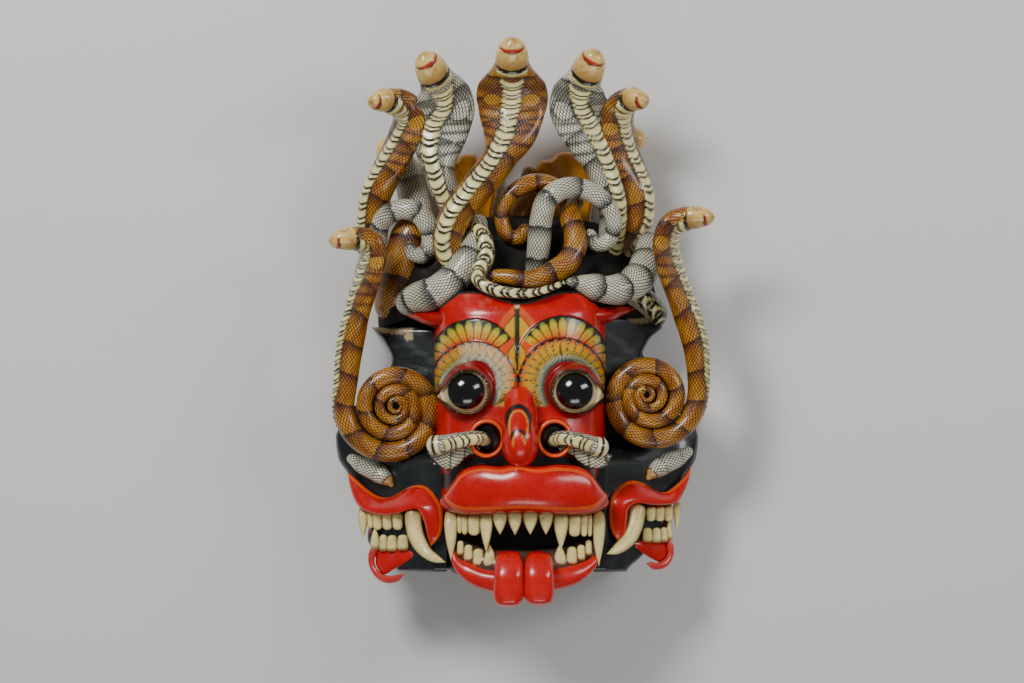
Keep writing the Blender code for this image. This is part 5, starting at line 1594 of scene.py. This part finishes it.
# %% Side mouths
SIDE_MOUTHS = {
    "left": dict(
        lip=([(347.5, 471), (358, 480), (371, 491), (380, 496), (389, 497), (398, 493), (410, 486),
              (419, 484), (427.5, 486), (436, 495), (443, 509), (444, 522), (441, 536), (431, 547.5)],
             [(347.5, 471), (349.5, 484), (354, 499), (360.5, 508), (371, 513), (383, 515), (395, 514),
              (406, 511), (416, 509), (420, 513), (424, 522), (427, 535), (431, 547.5)]),
        tusk=([(413, 508), (405.5, 513), (405.6, 526), (408.7, 538.7), (415, 550), (425, 558.7),
               (435, 562.7), (446, 562.4)],
              [(413, 508), (420.5, 512), (422.5, 526), (426, 538.7), (431, 548.7), (438.7, 555.5),
               (446, 562.4)]),
        roll=([(373.5, 543.5), (368.7, 552.5), (368, 561), (371, 571), (378.7, 580), (387.5, 583.3),
               (397.5, 581.5), (405, 574)],
              [(373.5, 543.5), (377.5, 551), (374.5, 560), (377, 568.5), (384, 574.5), (391, 575.5),
               (398, 574.5), (405, 574)]),
        low=([(376.5, 549), (391, 546.5), (405, 546), (419, 553)],
             [(376.5, 549), (376, 565), (384, 574.5), (394, 569.5), (406, 563), (419, 553)]),
        upper=[(358.5, 368, 508, 538, True), (367.5, 373.5, 510, 528, False), (373, 382.5, 511, 529.5,
                                                                               False),
               (382.5, 392.5, 511, 529.5, False), (392.5, 403, 511, 529.5, False)],
        lower=[(370.5, 380, 550, 527, True), (379.5, 387.5, 551, 535, False), (387, 397.5, 551, 535.5,
                                                                               False),
               (397.5, 408.5, 550, 535, False)]),
    "right": dict(
        lip=([(691.5, 463), (684, 476), (675, 485), (666, 491.5), (660.5, 492), (652.5, 489), (644, 483),
              (635, 480), (626, 481), (617, 487.5), (611, 496), (608, 511), (610, 529), (618, 543.5)],
             [(691.5, 463), (689, 479.5), (683, 494), (677.5, 502), (666, 505), (652.5, 505), (642, 503.5),
              (635, 504), (629, 509), (627, 521), (625, 532), (618, 543.5)]),
        tusk=([(637.5, 503.5), (645, 508), (644.3, 520), (641, 532), (635, 543), (626, 550.5), (616, 554.6),
               (606.5, 554)],
              [(637.5, 503.5), (630, 507), (628, 518), (625, 529), (620, 538), (613, 546), (606.5, 554)]),
        roll=([(667.5, 536), (673.5, 545), (673.5, 556), (668, 566), (660, 569.5), (652, 569), (646, 563)],
              [(667.5, 536), (666, 545), (667.5, 553), (663, 560), (657, 562.5), (651, 562), (646, 563)]),
        low=([(668, 541), (654, 538.5), (640, 538.5), (629, 543)],
             [(668, 541), (668, 554), (661, 562), (652, 559), (641, 552.5), (629, 543)]),
        upper=[(673.5, 680.5, 503, 530, True), (664, 673, 506, 521, False), (655, 664.5, 506.5, 521, False),
               (646, 655.5, 506.5, 521, False)],
        lower=[(665.5, 672.5, 540, 519, True), (660, 667.5, 542, 527.5, False), (651.5, 661, 542.5, 528,
                                                                                 False),
               (642.5, 652, 542, 528, False)]),
}


def above_cheek(lift):
    """A height over the cheek for a form on a side face."""
    return lambda places, share: side_height(places[:, 0], places[:, 1]) + lift


for side, m in SIDE_MOUTHS.items():
    swollen(f"{side}_side_lip", m["lip"], above_cheek(6), [(0, 4), (0.2, 9), (0.6, 12), (1, 6)],
            edged(LACQUER), back=14, rows=140)
    swollen(f"{side}_tusk", m["tusk"], above_cheek(13), [(0, 5), (0.4, 8), (1, 3)], ivory_coat,
            material=IVORY, back=8, square=0.95)
    swollen(f"{side}_side_roll", m["roll"], above_cheek(3), [(0, 4), (0.5, 7), (1, 4)],
            edged("#CF3A34", False), back=10)
    swollen(f"{side}_side_lower_lip", m["low"], above_cheek(-5), [(0, 7), (0.5, 9), (1, 7)],
            edged(LACQUER, False), back=14)
    for row, drop in (("upper", 6), ("lower", 4)):
        for k, (left, right, root, tip, pointed) in enumerate(m[row]):
            x, y = seen(0.5 * (left + right), 0.5 * (root + tip), 100)
            depth = float(side_height(x, y)) + drop
            tooth(f"{side}_side_{row}_{k}", left, right, root, tip, depth, pointed)
    sign = SIGN[side]
    drop = 0 if side == "left" else 4
    route = [(sign * x, y + drop, float(side_height(sign * x, y)) - 13)
             for x, y in ((150, -188), (130, -193), (104, -195))]
    bar(f"{side}_side_gums", route, [(0, 18, 8), (0.5, 22, 10), (1, 20, 8)], "#241512")
print("side mouths, pieces so far:", len(MADE))

# %% [markdown]
# Small cobras come out of the nostrils of all three faces, with their heads outwards. The two in the
# middle show cream plates, a scaled hood below and a plain round head; those of the side faces are half
# hidden by the ears.

# %% Nostril cobras
NOSTRIL_COBRAS = {
    "left": dict(
        route=[(486, 441, 144), (480, 438, 160), (469, 438.5, 168), (455, 441.5, 167), (441, 444.5, 163),
               (427, 446, 158)],
        hood=([(484, 446), (470, 441), (452, 446), (436, 449), (427, 452)],
              [(484, 446), (476, 454), (467, 457), (459, 465), (448, 470.5), (436, 463), (427, 452)])),
    "right": dict(
        route=[(553, 441, 144), (559, 438, 160), (570, 438.5, 168), (583, 442, 167), (595, 446, 163),
               (608, 449, 158)],
        hood=([(555, 446), (568, 442), (586, 447), (601, 451), (613, 455)],
              [(555, 446), (562, 453), (572, 456), (580, 463), (592, 469), (604, 467), (613, 455)])),
}


def nostril_cobra(side):
    sign = SIGN[side]
    marks = NOSTRIL_COBRAS[side]
    route = [(*seen(px, py, z), z) for px, py, z in marks["route"]]
    girth = [(0, 6.5, 6.5), (0.3, 7, 7), (0.6, 8.2, 8.2), (0.75, 9, 9), (0.9, 10, 10), (1, 8, 8)]
    t = tube(route, girth, belly_angle=[(0, sign * 18), (1, sign * 10)], ring=0.8, sides=56)
    coat = banded(t, "pale", 40, strength=0.3)
    coat, scaly = belly_plates(t, coat, 7.0 + 0 * t["length"], 17, near=11, far=14, curl=0.5, line=1.6)
    behind = t["left"] - 8
    coat = brush(coat, inside(behind), "#F0E2B0")
    coat = brush(coat, inside(np.abs(behind - 1.4) - 1.5), INK)
    coat = brush(coat, inside(np.abs(behind - 5.0) - 2.0), PLATE)
    coat = brush(coat, line_at(behind - 7.4, 1.3), INK)
    finish_tube(f"{side}_nostril_cobra", t, coat, scaly * inside(-behind + 8), SILVER, "face_paint",
                "mask_head")
    t = swell(marks["hood"], [(0, 152), (0.5, 157), (1, 152)], [(0, 4), (0.5, 6), (1, 4)], back=9, rows=70)
    lobes = np.abs(np.mod(t["length"] / 17 + 0.35, 1) - 0.5)
    t["points"][..., 2] -= 2.6 * (1 - blend(0, 0.12, lobes)) * (np.cos(t["around"]) > 0)
    coat = brush(ground(t["length"].shape, "#F3EBC6"), blend(0.2, 1, -t["out"]) * 0.5, "#77775F")
    coat = brush(coat, 0.9 * (1 - blend(0.02, 0.07, lobes)), INK)
    edge = t["half"] * (1 - np.abs(t["out"]))
    coat = brush(coat, 0.9 * inside(edge - 1.2, 0.6), INK)
    return finish_tube(f"{side}_nostril_hood", t, coat, np.ones_like(t["length"]), SILVER, "face_paint",
                       "mask_head")


def side_nostril_cobra(side):
    sign = SIGN[side]
    low = -120 if side == "left" else -113
    places = [(172, low + 2, 1), (158, low - 6, 4), (144, low - 12, 5), (133, low - 20, 4),
              (127, low - 27, 1)]
    route = [(sign * x, y, float(side_height(sign * x, y)) + lift) for x, y, lift in places]
    t = tube(route, [(0, 5, 6), (0.35, 9, 9), (0.65, 10, 10), (0.85, 7, 8), (1, 2, 2)], ring=0.9, sides=48)
    coat = banded(t, "pale", 22, strength=0.3)
    tip = inside(t["left"] - 9, 1)
    coat = brush(coat, tip, "#C9A05C")
    coat = brush(coat, line_at(t["left"] - 9, 1.4), INK)
    return finish_tube(f"{side}_side_cobra", t, coat, 1 - tip, SILVER, "face_paint", "mask_head")


for side in NOSTRIL_COBRAS:
    nostril_cobra(side)
    side_nostril_cobra(side)
print("nostril cobras:", [o.name for o in MADE[-6:]])

# %% [markdown]
# Behind the coils stands the back of the crown: a broad foot of wood that the snakes are carved from, and
# two lobed hoods in plain ochre that look out beside the middle cobra.

# %% The back of the crown
def slab(name, outline, levels, tone, grain, material):
    """A flat form from an outline, drawn in or out at each level (spread about the middle, z)."""
    curve = smooth_route([(x, y, 0) for x, y in [*outline, outline[0]]], 6)[0][:, :2]
    middle = curve.mean(0)
    levels = [(0.0, levels[0][1]), *levels, (0.0, levels[-1][1])]
    points = np.array([[(*(middle + (p - middle) * spread), z) for p in curve] for spread, z in levels])
    coat = ground(points.shape[:2], tone)
    px, py = pixel(points)
    coat = brush(coat, 0.6 * blend(0, 1, wobble(px * 2, py * 0.7, 3)), grain)
    obj = sheet(name, points, points[..., :2], paint=coat, scaly=np.zeros(points.shape[:2]))
    close_up(obj)
    bpy.ops.object.shade_smooth_by_angle(angle=math.radians(40))
    return hand_in(obj, material, "crown_paint", "cobra_crown")


slab("crown_foot", [(-144, 10), (-86, 41), (-47, 50), (0, 39), (47, 50), (86, 24), (136, 22), (134, 64),
                    (112, 104), (60, 122), (-60, 122), (-112, 104), (-144, 62)],
     [(0.94, 1), (0.99, 8), (0.99, 46), (0.9, 68), (0.6, 90)], "#100B07", "#2A1A0C", STAINED)
for side, (x, y, half, tall) in (("left", (-52, 100, 30, 88)), ("right", (46, 100, 33, 90))):
    lobes = [(-0.5, -0.2), (0.5, -0.2), (0.85, 0.35), (1, 0.7), (0.82, 0.9), (0.48, 0.93), (0.2, 1.0),
             (-0.2, 1.0), (-0.48, 0.93), (-0.82, 0.9), (-1, 0.7), (-0.85, 0.35)]
    slab(f"{side}_back_hood", [(x + sx * half * 0.97, y + sy * tall) for sx, sy in lobes],
         [(0.9, 10), (1.0, 16), (1.0, 24), (0.95, 28), (0.86, 30.5)], "#E89A10", "#A8560A", OCHRE)
print("pieces in all:", len(MADE))

# %% [markdown]
# Other parts are placed by the box of the solids, so the finished work stays inside it.

# %% Sizes and finish
print("pieces:", len(MADE), "faces:", sum(len(piece.data.polygons) for piece in MADE))
